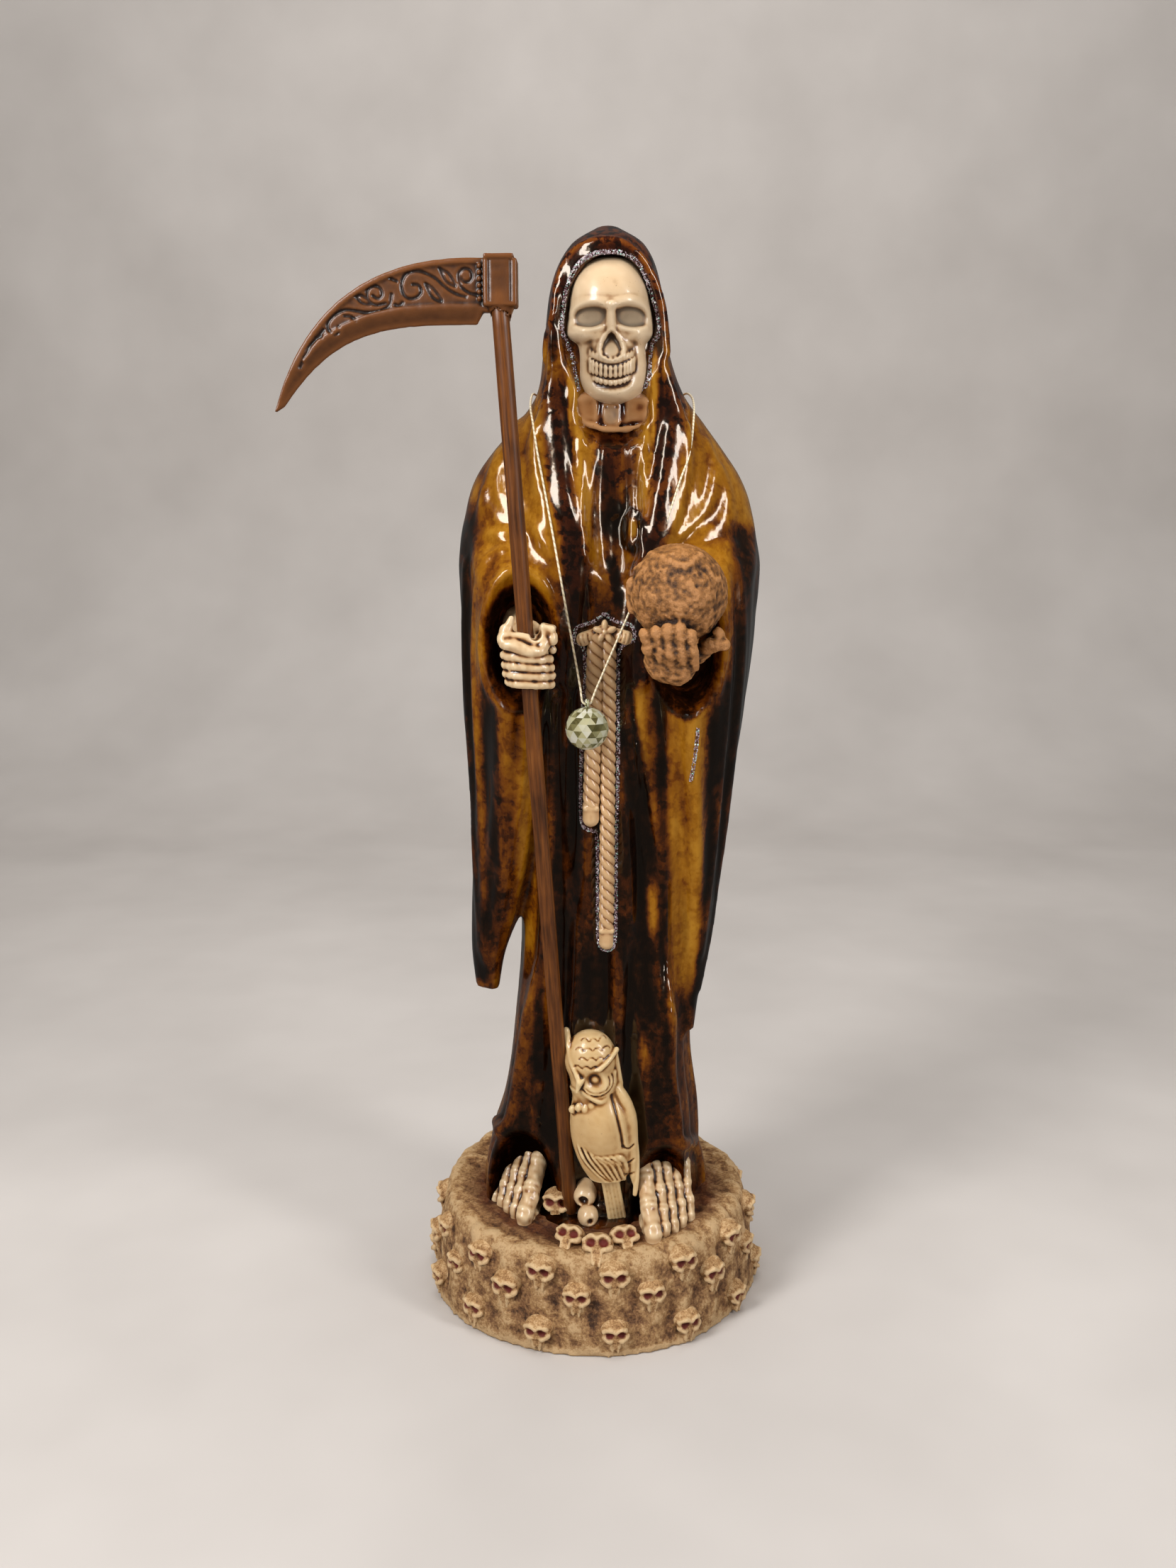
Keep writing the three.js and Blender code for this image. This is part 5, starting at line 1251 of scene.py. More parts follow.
def sanded_paint(name, bright, light, middle, dark, crumb=1.0, rough=0.62):
    """Paint over a sand texture: pale on the grains and brown between them. It gives the eye a
    matt crust with a few glints."""
    material, tree = new_material(name)
    place = node(tree, "ShaderNodeTexCoord")
    grains = node(tree, "ShaderNodeTexNoise", None, {
        "Vector": (place, "Object"), "Scale": 1 / (1.5 * crumb * MM), "Detail": 5, "Roughness": 0.72})
    clumps = node(tree, "ShaderNodeTexNoise", None, {
        "Vector": (place, "Object"), "Scale": 1 / (9 * crumb * MM), "Detail": 6, "Roughness": 0.62})
    proud = node(tree, "ShaderNodeAttribute", {"attribute_name": "proud"})
    stain = node(tree, "ShaderNodeAttribute", {"attribute_name": "stain"})
    shaped = node(tree, "ShaderNodeMath", {"operation": "MULTIPLY"}, {0: (proud, "Fac"), 1: 0.6})
    tone = node(tree, "ShaderNodeMath", {"operation": "MULTIPLY_ADD"}, {
        0: (grains, "Fac"), 1: 0.9, 2: (shaped, "Value")})
    clumped = node(tree, "ShaderNodeMath", {"operation": "MULTIPLY_ADD"}, {
        0: (clumps, "Fac"), 1: 0.35, 2: (tone, "Value")})
    ranged = node(tree, "ShaderNodeMapRange", None, {"Value": (clumped, "Value"), "From Min": 0.68, "From Max": 1.14})
    paint = node(tree, "ShaderNodeValToRGB", None, {"Fac": (ranged, "Result")}, stops=[
        (0.0, dark), (0.36, middle), (0.7, light), (1.0, bright)])
    worn = node(tree, "ShaderNodeMath", {"operation": "MULTIPLY"}, {0: (stain, "Fac"), 1: (clumps, "Fac")})
    stained = node(tree, "ShaderNodeMapRange", None, {
        "Value": (worn, "Value"), "From Min": 0.12, "From Max": 0.5, "To Max": 0.9})
    brown = node(tree, "ShaderNodeMix", {"data_type": "RGBA", "blend_type": "MULTIPLY"}, {
        0: (stained, "Result"), 6: (paint, "Color"), 7: colour_of("8a5326")})
    bump = node(tree, "ShaderNodeBump", None, {
        "Height": (grains, "Fac"), "Strength": 1.0, "Distance": 0.9 * crumb * MM})
    gloss = node(tree, "ShaderNodeMapRange", None, {
        "Value": (grains, "Fac"), "To Min": rough + 0.15, "To Max": rough - 0.25})
    red = node(tree, "ShaderNodeAttribute", {"attribute_name": "red"})
    eyes = node(tree, "ShaderNodeMix", {"data_type": "RGBA"}, {0: (red, "Fac"), 6: (brown, 2), 7: colour_of("66180a")})
    shader = node(tree, "ShaderNodeBsdfPrincipled", None, {
        "Base Color": (eyes, 2), "Roughness": (gloss, "Result"), "Normal": (bump, "Normal")})
    node(tree, "ShaderNodeOutputMaterial", None, {"Surface": (shader, "BSDF")})
    return material


def stained_wood():
    """A turned hardwood dowel with red brown stain, rubbed darker along its grain. It gives the
    eye fine streaks along the pole and a low sheen."""
    material, tree = new_material("stained_hardwood_dowel")
    place = node(tree, "ShaderNodeTexCoord")
    lean = (Vector(POLE_TOP) - Vector(POLE_FOOT)).to_track_quat("Z", "Y").inverted().to_euler()
    turned = node(tree, "ShaderNodeMapping", None, {"Vector": (place, "Object"), "Rotation": lean})
    drawn = node(tree, "ShaderNodeMapping", None, {"Vector": (turned, "Vector"), "Scale": (1, 1, 0.045)})
    grain = node(tree, "ShaderNodeTexNoise", None, {
        "Vector": (drawn, "Vector"), "Scale": 1 / (1.1 * MM), "Detail": 6, "Roughness": 0.65})
    cloud = node(tree, "ShaderNodeTexNoise", None, {"Vector": (place, "Object"), "Scale": 1 / (26 * MM), "Detail": 3})
    tone = node(tree, "ShaderNodeMath", {"operation": "MULTIPLY_ADD"}, {0: (cloud, "Fac"), 1: 0.5, 2: (grain, "Fac")})
    stain = node(tree, "ShaderNodeValToRGB", None, {"Fac": (tone, "Value")}, stops=[
        (0.5, "2c1503"), (0.68, "562c08"), (0.86, "744010"), (1.0, "885018")])
    bump = node(tree, "ShaderNodeBump", None, {"Height": (grain, "Fac"), "Strength": 0.3, "Distance": 0.15 * MM})
    shader = node(tree, "ShaderNodeBsdfPrincipled", None, {
        "Base Color": (stain, "Color"), "Roughness": 0.42, "Normal": (bump, "Normal"), "Coat Weight": 0.15,
        "Coat Roughness": 0.25})
    node(tree, "ShaderNodeOutputMaterial", None, {"Surface": (shader, "BSDF")})
    return material


def brown_cast():
    """Cast resin with brown paint and a dark glaze left in the scrolls. It gives the eye rusty
    wood-like brown with nearly black grooves."""
    material, tree = new_material("brown_painted_cast_resin")
    place = node(tree, "ShaderNodeTexCoord")
    cloud = node(tree, "ShaderNodeTexNoise", None, {
        "Vector": (place, "Object"), "Scale": 1 / (9 * MM), "Detail": 6, "Roughness": 0.65})
    proud = node(tree, "ShaderNodeAttribute", {"attribute_name": "proud"})
    tone = node(tree, "ShaderNodeMath", {"operation": "MULTIPLY_ADD"}, {0: (cloud, "Fac"), 1: 0.35, 2: (proud, "Fac")})
    ranged = node(tree, "ShaderNodeMapRange", None, {"Value": (tone, "Value"), "From Min": 0.12, "From Max": 1.2})
    paint = node(tree, "ShaderNodeValToRGB", None, {"Fac": (ranged, "Result")}, stops=[
        (0.0, "150802"), (0.26, "361b08"), (0.5, "542e0e"), (1.0, "704018")])
    speck = node(tree, "ShaderNodeTexNoise", None, {"Vector": (place, "Object"), "Scale": 1 / (1.6 * MM), "Detail": 3})
    bump = node(tree, "ShaderNodeBump", None, {"Height": (speck, "Fac"), "Strength": 0.35, "Distance": 0.2 * MM})
    shader = node(tree, "ShaderNodeBsdfPrincipled", None, {
        "Base Color": (paint, "Color"), "Roughness": 0.4, "Normal": (bump, "Normal"), "Coat Weight": 0.2,
        "Coat Roughness": 0.2})
    node(tree, "ShaderNodeOutputMaterial", None, {"Surface": (shader, "BSDF")})
    return material


def waxed_cord():
    """A waxed cotton cord, twisted from two fine threads. It gives the eye a thin cream line."""
    material, tree = new_material("waxed_cotton_cord")
    place = node(tree, "ShaderNodeTexCoord")
    twist = node(tree, "ShaderNodeTexWave", {"bands_direction": "DIAGONAL"}, {
        "Vector": (place, "Object"), "Scale": 1 / (5 * MM), "Distortion": 1.5})
    thread = node(tree, "ShaderNodeValToRGB", None, {"Fac": (twist, "Fac")}, stops=[(0.0, "c9b48c"), (0.6, "efe2c4")])
    shader = node(tree, "ShaderNodeBsdfPrincipled", None, {"Base Color": (thread, "Color"), "Roughness": 0.5})
    node(tree, "ShaderNodeOutputMaterial", None, {"Surface": (shader, "BSDF")})
    return material


def lead_crystal():
    """Cut lead crystal glass with mirror-smooth facets, part see-through. Each facet is given a
    random tone from dark olive to near white as painted glints and painted shade, so the eye sees flat
    facets of pale yellow green, some bright and some dark, that bend what lies behind."""
    material, tree = new_material("cut_lead_crystal")
    facet = node(tree, "ShaderNodeAttribute", {"attribute_name": "facet"})
    tint = node(tree, "ShaderNodeValToRGB", None, {"Fac": (facet, "Fac")}, stops=[
        (0.0, "54502c"), (0.22, "8f8a5c"), (0.42, "d6d2a2"), (1.0, "fffff2")])
    shader = node(tree, "ShaderNodeBsdfPrincipled", None, {
        "Base Color": (tint, "Color"), "Roughness": 0.03, "IOR": 1.5, "Transmission Weight": 0.5})
    node(tree, "ShaderNodeOutputMaterial", None, {"Surface": (shader, "BSDF")})
    return material


def glitter_flakes():
    """Cut holographic film flakes in clear glue. The few green tints are the film's own colour, and
    the random spread from dark to white is painted glint. They give the eye silver sparks, some tinted.
    """
    material, tree = new_material("holographic_film_glitter")
    flake = node(tree, "ShaderNodeAttribute", {"attribute_name": "flake"})
    # Painted glints: the random brightness of each flake stands in for its sparkle.
    tint = node(tree, "ShaderNodeValToRGB", None, {"Fac": (flake, "Fac")}, stops=[
        (0.0, "40201c"), (0.3, "7c5c60"), (0.55, "b4a0a8"), (0.84, "e6dae0"), (0.94, "a4dcc8"), (1.0, "ffffff")])
    shader = node(tree, "ShaderNodeBsdfPrincipled", None, {
        "Base Color": (tint, "Color"), "Metallic": 0.15, "Roughness": 0.25})
    node(tree, "ShaderNodeOutputMaterial", None, {"Surface": (shader, "BSDF")})
    return material


def studio_paper():
    """Matt pale backdrop paper."""
    material, tree = new_material("matt_backdrop_paper")
    place = node(tree, "ShaderNodeTexCoord")
    cloud = node(tree, "ShaderNodeTexNoise", None, {"Vector": (place, "Object"), "Scale": 6, "Detail": 3})
    shade = node(tree, "ShaderNodeValToRGB", None, {"Fac": (cloud, "Fac")}, stops=[(0.3, "bdb6b0"), (0.7, "c8c1bb")])
    shader = node(tree, "ShaderNodeBsdfPrincipled", None, {"Base Color": (shade, "Color"), "Roughness": 0.95})
    node(tree, "ShaderNodeOutputMaterial", None, {"Surface": (shader, "BSDF")})
    return material


# Geometry Nodes

def new_tree(name, inputs):
    """A geometry tree with the given inputs, as (name, socket type, default)."""
    tree = bpy.data.node_groups.new(name, "GeometryNodeTree")
    tree.interface.new_socket("Geometry", in_out="OUTPUT", socket_type="NodeSocketGeometry")
    tree.interface.new_socket("Geometry", in_out="INPUT", socket_type="NodeSocketGeometry")
    for label, kind, default in inputs:
        socket = tree.interface.new_socket(label, in_out="INPUT", socket_type=kind)
        if default is not None:
            socket.default_value = default
    return tree, node(tree, "NodeGroupInput")


def ended(tree, shape, material):
    """Ends a tree in Realize Instances and Set Material."""
    real = node(tree, "GeometryNodeRealizeInstances", None, {"Geometry": shape})
    painted = node(tree, "GeometryNodeSetMaterial", None, {"Geometry": (real, "Geometry"), "Material": material})
    node(tree, "NodeGroupOutput", None, {0: (painted, "Geometry")})


def grown(name, points, edges, tree, values, rotations=None):
    """The mesh that a tree makes from a line or points in millimetres, as a plain object."""
    mesh = bpy.data.meshes.new(name)
    mesh.from_pydata([tuple(c * MM for c in p) for p in points], edges, [])
    if rotations is not None:
        attribute = mesh.attributes.new("turn", "FLOAT_VECTOR", "POINT")
        attribute.data.foreach_set("vector", np.array(rotations, np.float32).ravel())
    carrier = bpy.data.objects.new(name + "_carrier", mesh)
    bpy.context.scene.collection.objects.link(carrier)
    modifier = carrier.modifiers.new("nodes", "NODES")
    modifier.node_group = tree
    sockets = {s.name: s.identifier for s in tree.interface.items_tree if getattr(s, "in_out", "") == "INPUT"}
    for label, value in values.items():
        modifier[sockets[label]] = value
    bpy.context.view_layer.update()
    graph = bpy.context.evaluated_depsgraph_get()
    made = bpy.data.meshes.new_from_object(carrier.evaluated_get(graph), depsgraph=graph)
    carrier.modifiers.clear()
    bpy.data.objects.remove(carrier)
    made.name = name
    piece = bpy.data.objects.new(name, made)
    bpy.context.scene.collection.objects.link(piece)
    return piece


def line_edges(points):
    return [(i, i + 1) for i in range(len(points) - 1)]


def rope_tree(material):
    """A rope of twisted strands that follows a line."""
    tree, given = new_tree("twisted_rope", [
        ("Strand radius", "NodeSocketFloat", 0.002), ("Twist radius", "NodeSocketFloat", 0.002),
        ("Pitch", "NodeSocketFloat", 0.014),
    ])
    line = node(tree, "GeometryNodeMeshToCurve", None, {"Mesh": (given, "Geometry")})
    fine = node(tree, "GeometryNodeResampleCurve", {"mode": "LENGTH"}, {"Curve": (line, "Curve"), "Length": 0.9 * MM})
    joined = node(tree, "GeometryNodeJoinGeometry")
    profile = node(tree, "GeometryNodeCurvePrimitiveCircle", None, {
        "Resolution": 12, "Radius": (given, "Strand radius")})
    for strand in range(3):
        at = node(tree, "GeometryNodeSplineParameter")
        turns = node(tree, "ShaderNodeMath", {"operation": "DIVIDE"}, {0: (at, "Length"), 1: (given, "Pitch")})
        angle = node(tree, "ShaderNodeMath", {"operation": "MULTIPLY_ADD"}, {
            0: (turns, "Value"), 1: 2 * math.pi, 2: strand * 2 * math.pi / 3})
        sides = []
        normal = node(tree, "GeometryNodeInputNormal")
        tangent = node(tree, "GeometryNodeInputTangent")
        beside = node(tree, "ShaderNodeVectorMath", {"operation": "CROSS_PRODUCT"}, {
            0: (normal, "Normal"), 1: (tangent, "Tangent")})
        for direction, wave in (((normal, "Normal"), "COSINE"), ((beside, "Vector"), "SINE")):
            share = node(tree, "ShaderNodeMath", {"operation": wave}, {0: (angle, "Value")})
            reach = node(tree, "ShaderNodeMath", {"operation": "MULTIPLY"}, {
                0: (share, "Value"), 1: (given, "Twist radius")})
            sides.append(node(tree, "ShaderNodeVectorMath", {"operation": "SCALE"}, {
                0: direction, "Scale": (reach, "Value")}))
        offset = node(tree, "ShaderNodeVectorMath", {"operation": "ADD"}, {
            0: (sides[0], "Vector"), 1: (sides[1], "Vector")})
        wound = node(tree, "GeometryNodeSetPosition", None, {
            "Geometry": (fine, "Curve"), "Offset": (offset, "Vector")})
        tube = node(tree, "GeometryNodeCurveToMesh", None, {
            "Curve": (wound, "Geometry"), "Profile Curve": (profile, "Curve"), "Fill Caps": True})
        smooth = node(tree, "GeometryNodeSetShadeSmooth", None, {"Geometry": (tube, "Mesh")})
        tree.links.new(smooth.outputs[0], joined.inputs[0])
    away = node(tree, "GeometryNodeProximity", {"target_element": "EDGES"}, {0: (given, "Geometry")})
    whole = node(tree, "ShaderNodeMath", {"operation": "ADD"}, {0: (given, "Strand radius"), 1: (given, "Twist radius")})
    share = node(tree, "ShaderNodeMath", {"operation": "DIVIDE"}, {0: (away, "Distance"), 1: (whole, "Value")})
    raised = node(tree, "ShaderNodeMapRange", None, {
        "Value": (share, "Value"), "From Min": 0.62, "From Max": 1.0, "To Min": 0.08, "To Max": 0.7})
    marked = node(tree, "GeometryNodeStoreNamedAttribute", {"data_type": "FLOAT", "domain": "POINT"}, {
        "Geometry": (joined, "Geometry"), "Name": "proud", "Value": (raised, "Result")})
    ended(tree, (marked, "Geometry"), material)
    return tree


def glitter_tree(material):
    """Flakes of film scattered in a narrow band along a line."""
    tree, given = new_tree("glitter_line", [
        ("Band radius", "NodeSocketFloat", 0.001), ("Density", "NodeSocketFloat", 200000.0),
        ("Flake radius", "NodeSocketFloat", 0.0004), ("Seed", "NodeSocketInt", 1),
    ])
    line = node(tree, "GeometryNodeMeshToCurve", None, {"Mesh": (given, "Geometry")})
    profile = node(tree, "GeometryNodeCurvePrimitiveCircle", None, {"Resolution": 8, "Radius": (given, "Band radius")})
    band = node(tree, "GeometryNodeCurveToMesh", None, {"Curve": (line, "Curve"), "Profile Curve": (profile, "Curve")})
    spots = node(tree, "GeometryNodeDistributePointsOnFaces", None, {
        "Mesh": (band, "Mesh"), "Density": (given, "Density"), "Seed": (given, "Seed")})
    chance = node(tree, "FunctionNodeRandomValue", {"data_type": "FLOAT"}, {"Seed": (given, "Seed")})
    marked = node(tree, "GeometryNodeStoreNamedAttribute", {"data_type": "FLOAT", "domain": "POINT"}, {
        "Geometry": (spots, "Points"), "Name": "flake", "Value": (chance, 1)})
    width = node(tree, "ShaderNodeMath", {"operation": "MULTIPLY"}, {0: (given, "Flake radius"), 1: 2.0})
    flake = node(tree, "GeometryNodeMeshCube", None, {"Size": (width, "Value")})
    turn = node(tree, "FunctionNodeRandomValue", {"data_type": "FLOAT_VECTOR"}, {
        0: (0.0, 0.0, 0.0), 1: (6.28, 6.28, 6.28), "Seed": (given, "Seed")})
    size = node(tree, "FunctionNodeRandomValue", {"data_type": "FLOAT_VECTOR"}, {
        0: (0.6, 0.6, 0.2), 1: (1.3, 1.3, 0.4), "Seed": (given, "Seed")})
    placed = node(tree, "GeometryNodeInstanceOnPoints", None, {
        "Points": (marked, "Geometry"), "Instance": (flake, "Mesh"), "Rotation": (turn, 0), "Scale": (size, 0)})
    ended(tree, (placed, "Instances"), material)
    return tree


def skull_ring_tree(material):
    """Copies of the small skull at points, each turned as its point says and a little varied."""
    tree, given = new_tree("small_skulls", [("Skull", "NodeSocketObject", None), ("Seed", "NodeSocketInt", 3)])
    skull = node(tree, "GeometryNodeObjectInfo", None, {"Object": (given, "Skull")})
    points = node(tree, "GeometryNodeMeshToPoints", None, {"Mesh": (given, "Geometry")})
    turn = node(tree, "GeometryNodeInputNamedAttribute", {"data_type": "FLOAT_VECTOR"}, {"Name": "turn"})
    size = node(tree, "FunctionNodeRandomValue", {"data_type": "FLOAT"}, {
        2: 0.92, 3: 1.04, "Seed": (given, "Seed")})
    placed = node(tree, "GeometryNodeInstanceOnPoints", None, {
        "Points": (points, "Points"), "Instance": (skull, "Geometry"), "Rotation": (turn, 0), "Scale": (size, 1)})
    ended(tree, (placed, "Instances"), material)
    return tree


# Cord route, in millimetres, as in the CAD model

CORD_ROUTE = [
    (6, 31, 458.7), (-6, 30, 459.2), (-16.3, 24, 460.5), (-24.3, 14.5, 462), (-28.7, 4, 463.6), (-29.9, -9, 463.3),
    (-30.4, -20, 460), (-30.2, -28.9, 455.6), (-28.9, -36.5, 448.8), (-26.8, -44.2, 436.2), (-23.7, -48.4, 420.5),
    (-20.3, -53, 403), (-12.9, -62.5, 363), (-6.6, -72, 329.5), (-5.9, -73.5, 324.3), (-5.44, -73.5, 322.89),
    (-4.24, -73.5, 322.02), (-2.76, -73.5, 322.02), (-1.56, -73.5, 322.89), (-1.1, -73.5, 324.3), (1, -72, 329.5),
    (15.2, -62.7, 361.5), (28.6, -53.9, 392), (34.8, -51.2, 409), (39.2, -47, 422), (43.7, -41.9, 434),
    (46.2, -31.2, 450.5), (46.7, -17, 460), (44.6, -3, 464), (41, 11, 462.6), (32.5, 22.3, 460.5), (20.5, 29, 459),
    (9.3, 31.3, 458.2),
]


def curve_piece(name, points, radius, cyclic=False):
    """A round cord through the points, in millimetres, as a smooth curve."""
    curve = bpy.data.curves.new(name, "CURVE")
    curve.dimensions = "3D"
    curve.bevel_depth = radius * MM
    curve.bevel_resolution = 3
    curve.resolution_u = curve.render_resolution_u = 8
    curve.use_fill_caps = True
    spline = curve.splines.new("BEZIER")
    spline.bezier_points.add(len(points) - 1)
    spots = [np.array(p, float) * MM for p in points]
    for i, spot in enumerate(spots):
        before, after = spots[max(i - 1, 0)], spots[min(i + 1, len(spots) - 1)]
        slope = (after - before) / max(np.linalg.norm(after - before), 1e-9)
        point = spline.bezier_points[i]
        point.handle_left_type = point.handle_right_type = "FREE"
        point.co = spot
        point.handle_left = spot - slope * np.linalg.norm(spot - before) / 3
        point.handle_right = spot + slope * np.linalg.norm(after - spot) / 3
    spline.use_cyclic_u = cyclic
    piece = bpy.data.objects.new(name, curve)
    bpy.context.scene.collection.objects.link(piece)
    return piece


def lathe(name, rows, sides, placing):
    """A turned solid from (radius, height) rows in millimetres, put in place by a matrix."""
    made = bmesh.new()
    rings = []
    for radius, height in rows:
        rings.append([
            made.verts.new((radius * math.cos(a), radius * math.sin(a), height))
            for a in (2 * math.pi * i / sides for i in range(sides))
        ])
    for low, high in zip(rings[:-1], rings[1:]):
        for i in range(sides):
            j = (i + 1) % sides
            made.faces.new((low[i], low[j], high[j], high[i]))
    made.faces.new(list(reversed(rings[0])))
    made.faces.new(rings[-1])
    made.transform(placing)
    made.transform(Matrix.Scale(MM, 4))
    mesh = bpy.data.meshes.new(name)
    made.to_mesh(mesh)
    made.free()
    mesh.shade_smooth()
    piece = bpy.data.objects.new(name, mesh)
    bpy.context.scene.collection.objects.link(piece)
    return piece


# Settings that a user would change

class FigureSizes(bpy.types.PropertyGroup):
    """Sizes of the pieces added round the casting."""

    cord_diameter: FloatProperty(
        name="Cord diameter", description="Thickness of the necklace cord", default=0.001, unit="LENGTH")
    crystal_diameter: FloatProperty(
        name="Crystal diameter", description="Width of the faceted ball", default=0.02, unit="LENGTH")
    pole_diameter: FloatProperty(
        name="Pole diameter", description="Thickness of the scythe's wooden pole", default=0.0074, unit="LENGTH")
    flake_radius: FloatProperty(
        name="Flake size", description="Radius of one flake of glitter", default=0.0003, unit="LENGTH")
    skulls_around: IntProperty(
        name="Skulls in a row", description="Small skulls in each row round the base", default=14, min=3)
    rope_pitch: FloatProperty(
        name="Rope pitch", description="Length of one full twist of the rope belt", default=0.0125, unit="LENGTH")


class FigureFinish(bpy.types.PropertyGroup):
    """Colours of the painted pieces."""

    bone: FloatVectorProperty(
        name="Bone paint", description="Pale paint of skull, hands and feet", subtype="COLOR", size=4,
        default=colour_of("c09a6f"))
    sand: FloatVectorProperty(
        name="Sand paint", description="Paint of the base", subtype="COLOR", size=4, default=colour_of("a98152"))

# Operators, one for each piece or group of like pieces

carved = {}


class FigureStep(bpy.types.Operator):
    """What every step of the figure shares."""

    bl_options = {"REGISTER", "UNDO"}

    def execute(self, context):
        self.make(context.scene.figure_sizes, context.scene.figure_finish)
        return {"FINISHED"}


CAMERA_PLACE = (0, -732, 416.35)
CAMERA_DOWN = 11.3
CAMERA_TURN = 0.2655
FOCAL_PIXELS = 2050
SENSOR = 36.0
WALL_DISTANCE = 1.5


class FIGURE_OT_stage(FigureStep):
    """Sets up the camera, the lights and a pale paper sweep"""

    bl_idname = "figure.stage"
    bl_label = "Stage"

    def make(self, sizes, finish):
        scene = bpy.context.scene
        lens = bpy.data.cameras.new("camera")
        lens.sensor_width = SENSOR
        lens.lens = SENSOR * FOCAL_PIXELS / IMAGE_SIZE[1]
        lens.clip_start = 0.02
        camera = bpy.data.objects.new("camera", lens)
        camera.location = [c * MM for c in CAMERA_PLACE]
        camera.rotation_euler = (math.radians(90 - CAMERA_DOWN), 0, math.radians(CAMERA_TURN))
        scene.collection.objects.link(camera)
        scene.camera = camera
        for name, place, aim, size, power, mirrored in [
            ("key_light", (-0.75, -0.8, 0.95), (0, 0, 0.3), (0.3, 0.9), 15, True),
            ("fill_light", (0.95, -0.75, 0.8), (0, 0, 0.3), (0.22, 0.8), 9, True),
            ("front_light", (-0.3, -1.4, 1.6), (0, 0, 0.3), (0.5, 0.5), 3, False),
            ("top_light", (0.0, -0.1, 1.6), (0, 0, 0.3), (0.9, 0.6), 8, False),
            ("wall_light", (0.0, 0.5, 1.9), (0, 1.5, 0.6), (1.4, 0.4), 12, False),
        ]:
            lamp = bpy.data.lights.new(name, "AREA")
            lamp.shape, lamp.energy = "RECTANGLE", power
            lamp.size, lamp.size_y = size
            light = bpy.data.objects.new(name, lamp)
            light.location = place
            light.rotation_euler = (Vector(aim) - Vector(place)).to_track_quat("-Z", "Y").to_euler()
            light.visible_glossy = mirrored
            scene.collection.objects.link(light)
        world = bpy.data.worlds.new("soft_room")
        world.use_nodes = True
        background = world.node_tree.nodes["Background"]
        background.inputs["Color"].default_value = colour_of("e6e4e0")
        background.inputs["Strength"].default_value = 0.12
        scene.world = world
        scene.view_settings.view_transform = "Standard"
        self.sweep()

    def sweep(self):
        """A floor that curves up into a wall."""
        rows = [(-2.2, 0.0), (WALL_DISTANCE - 0.5, 0.0)]
        rows += [(WALL_DISTANCE - 0.5 + 0.5 * math.sin(a), 0.5 - 0.5 * math.cos(a)) for a in np.radians(range(6, 91, 6))]
        rows.append((WALL_DISTANCE, 3.2))
        made = bmesh.new()
        lines = [[made.verts.new((x, y, z - 0.0004)) for x in (-3.2, 3.2)] for y, z in rows]
        for (a, b), (c, d) in zip(lines[:-1], lines[1:]):
            made.faces.new((a, b, d, c))
        mesh = bpy.data.meshes.new("paper_sweep")
        made.to_mesh(mesh)
        made.free()
        mesh.shade_smooth()
        mesh.materials.append(studio_paper())
        sweep = bpy.data.objects.new("paper_sweep", mesh)
        sweep.visible_glossy = False
        bpy.context.scene.collection.objects.link(sweep)


CORD_KNOT = (7.6, 31.4, 458.4)
CRYSTAL_ROWS = 10
CRYSTAL_FACETS = 14
LUG_DIAMETER = 5.0
LUG_HOLE = 2.2


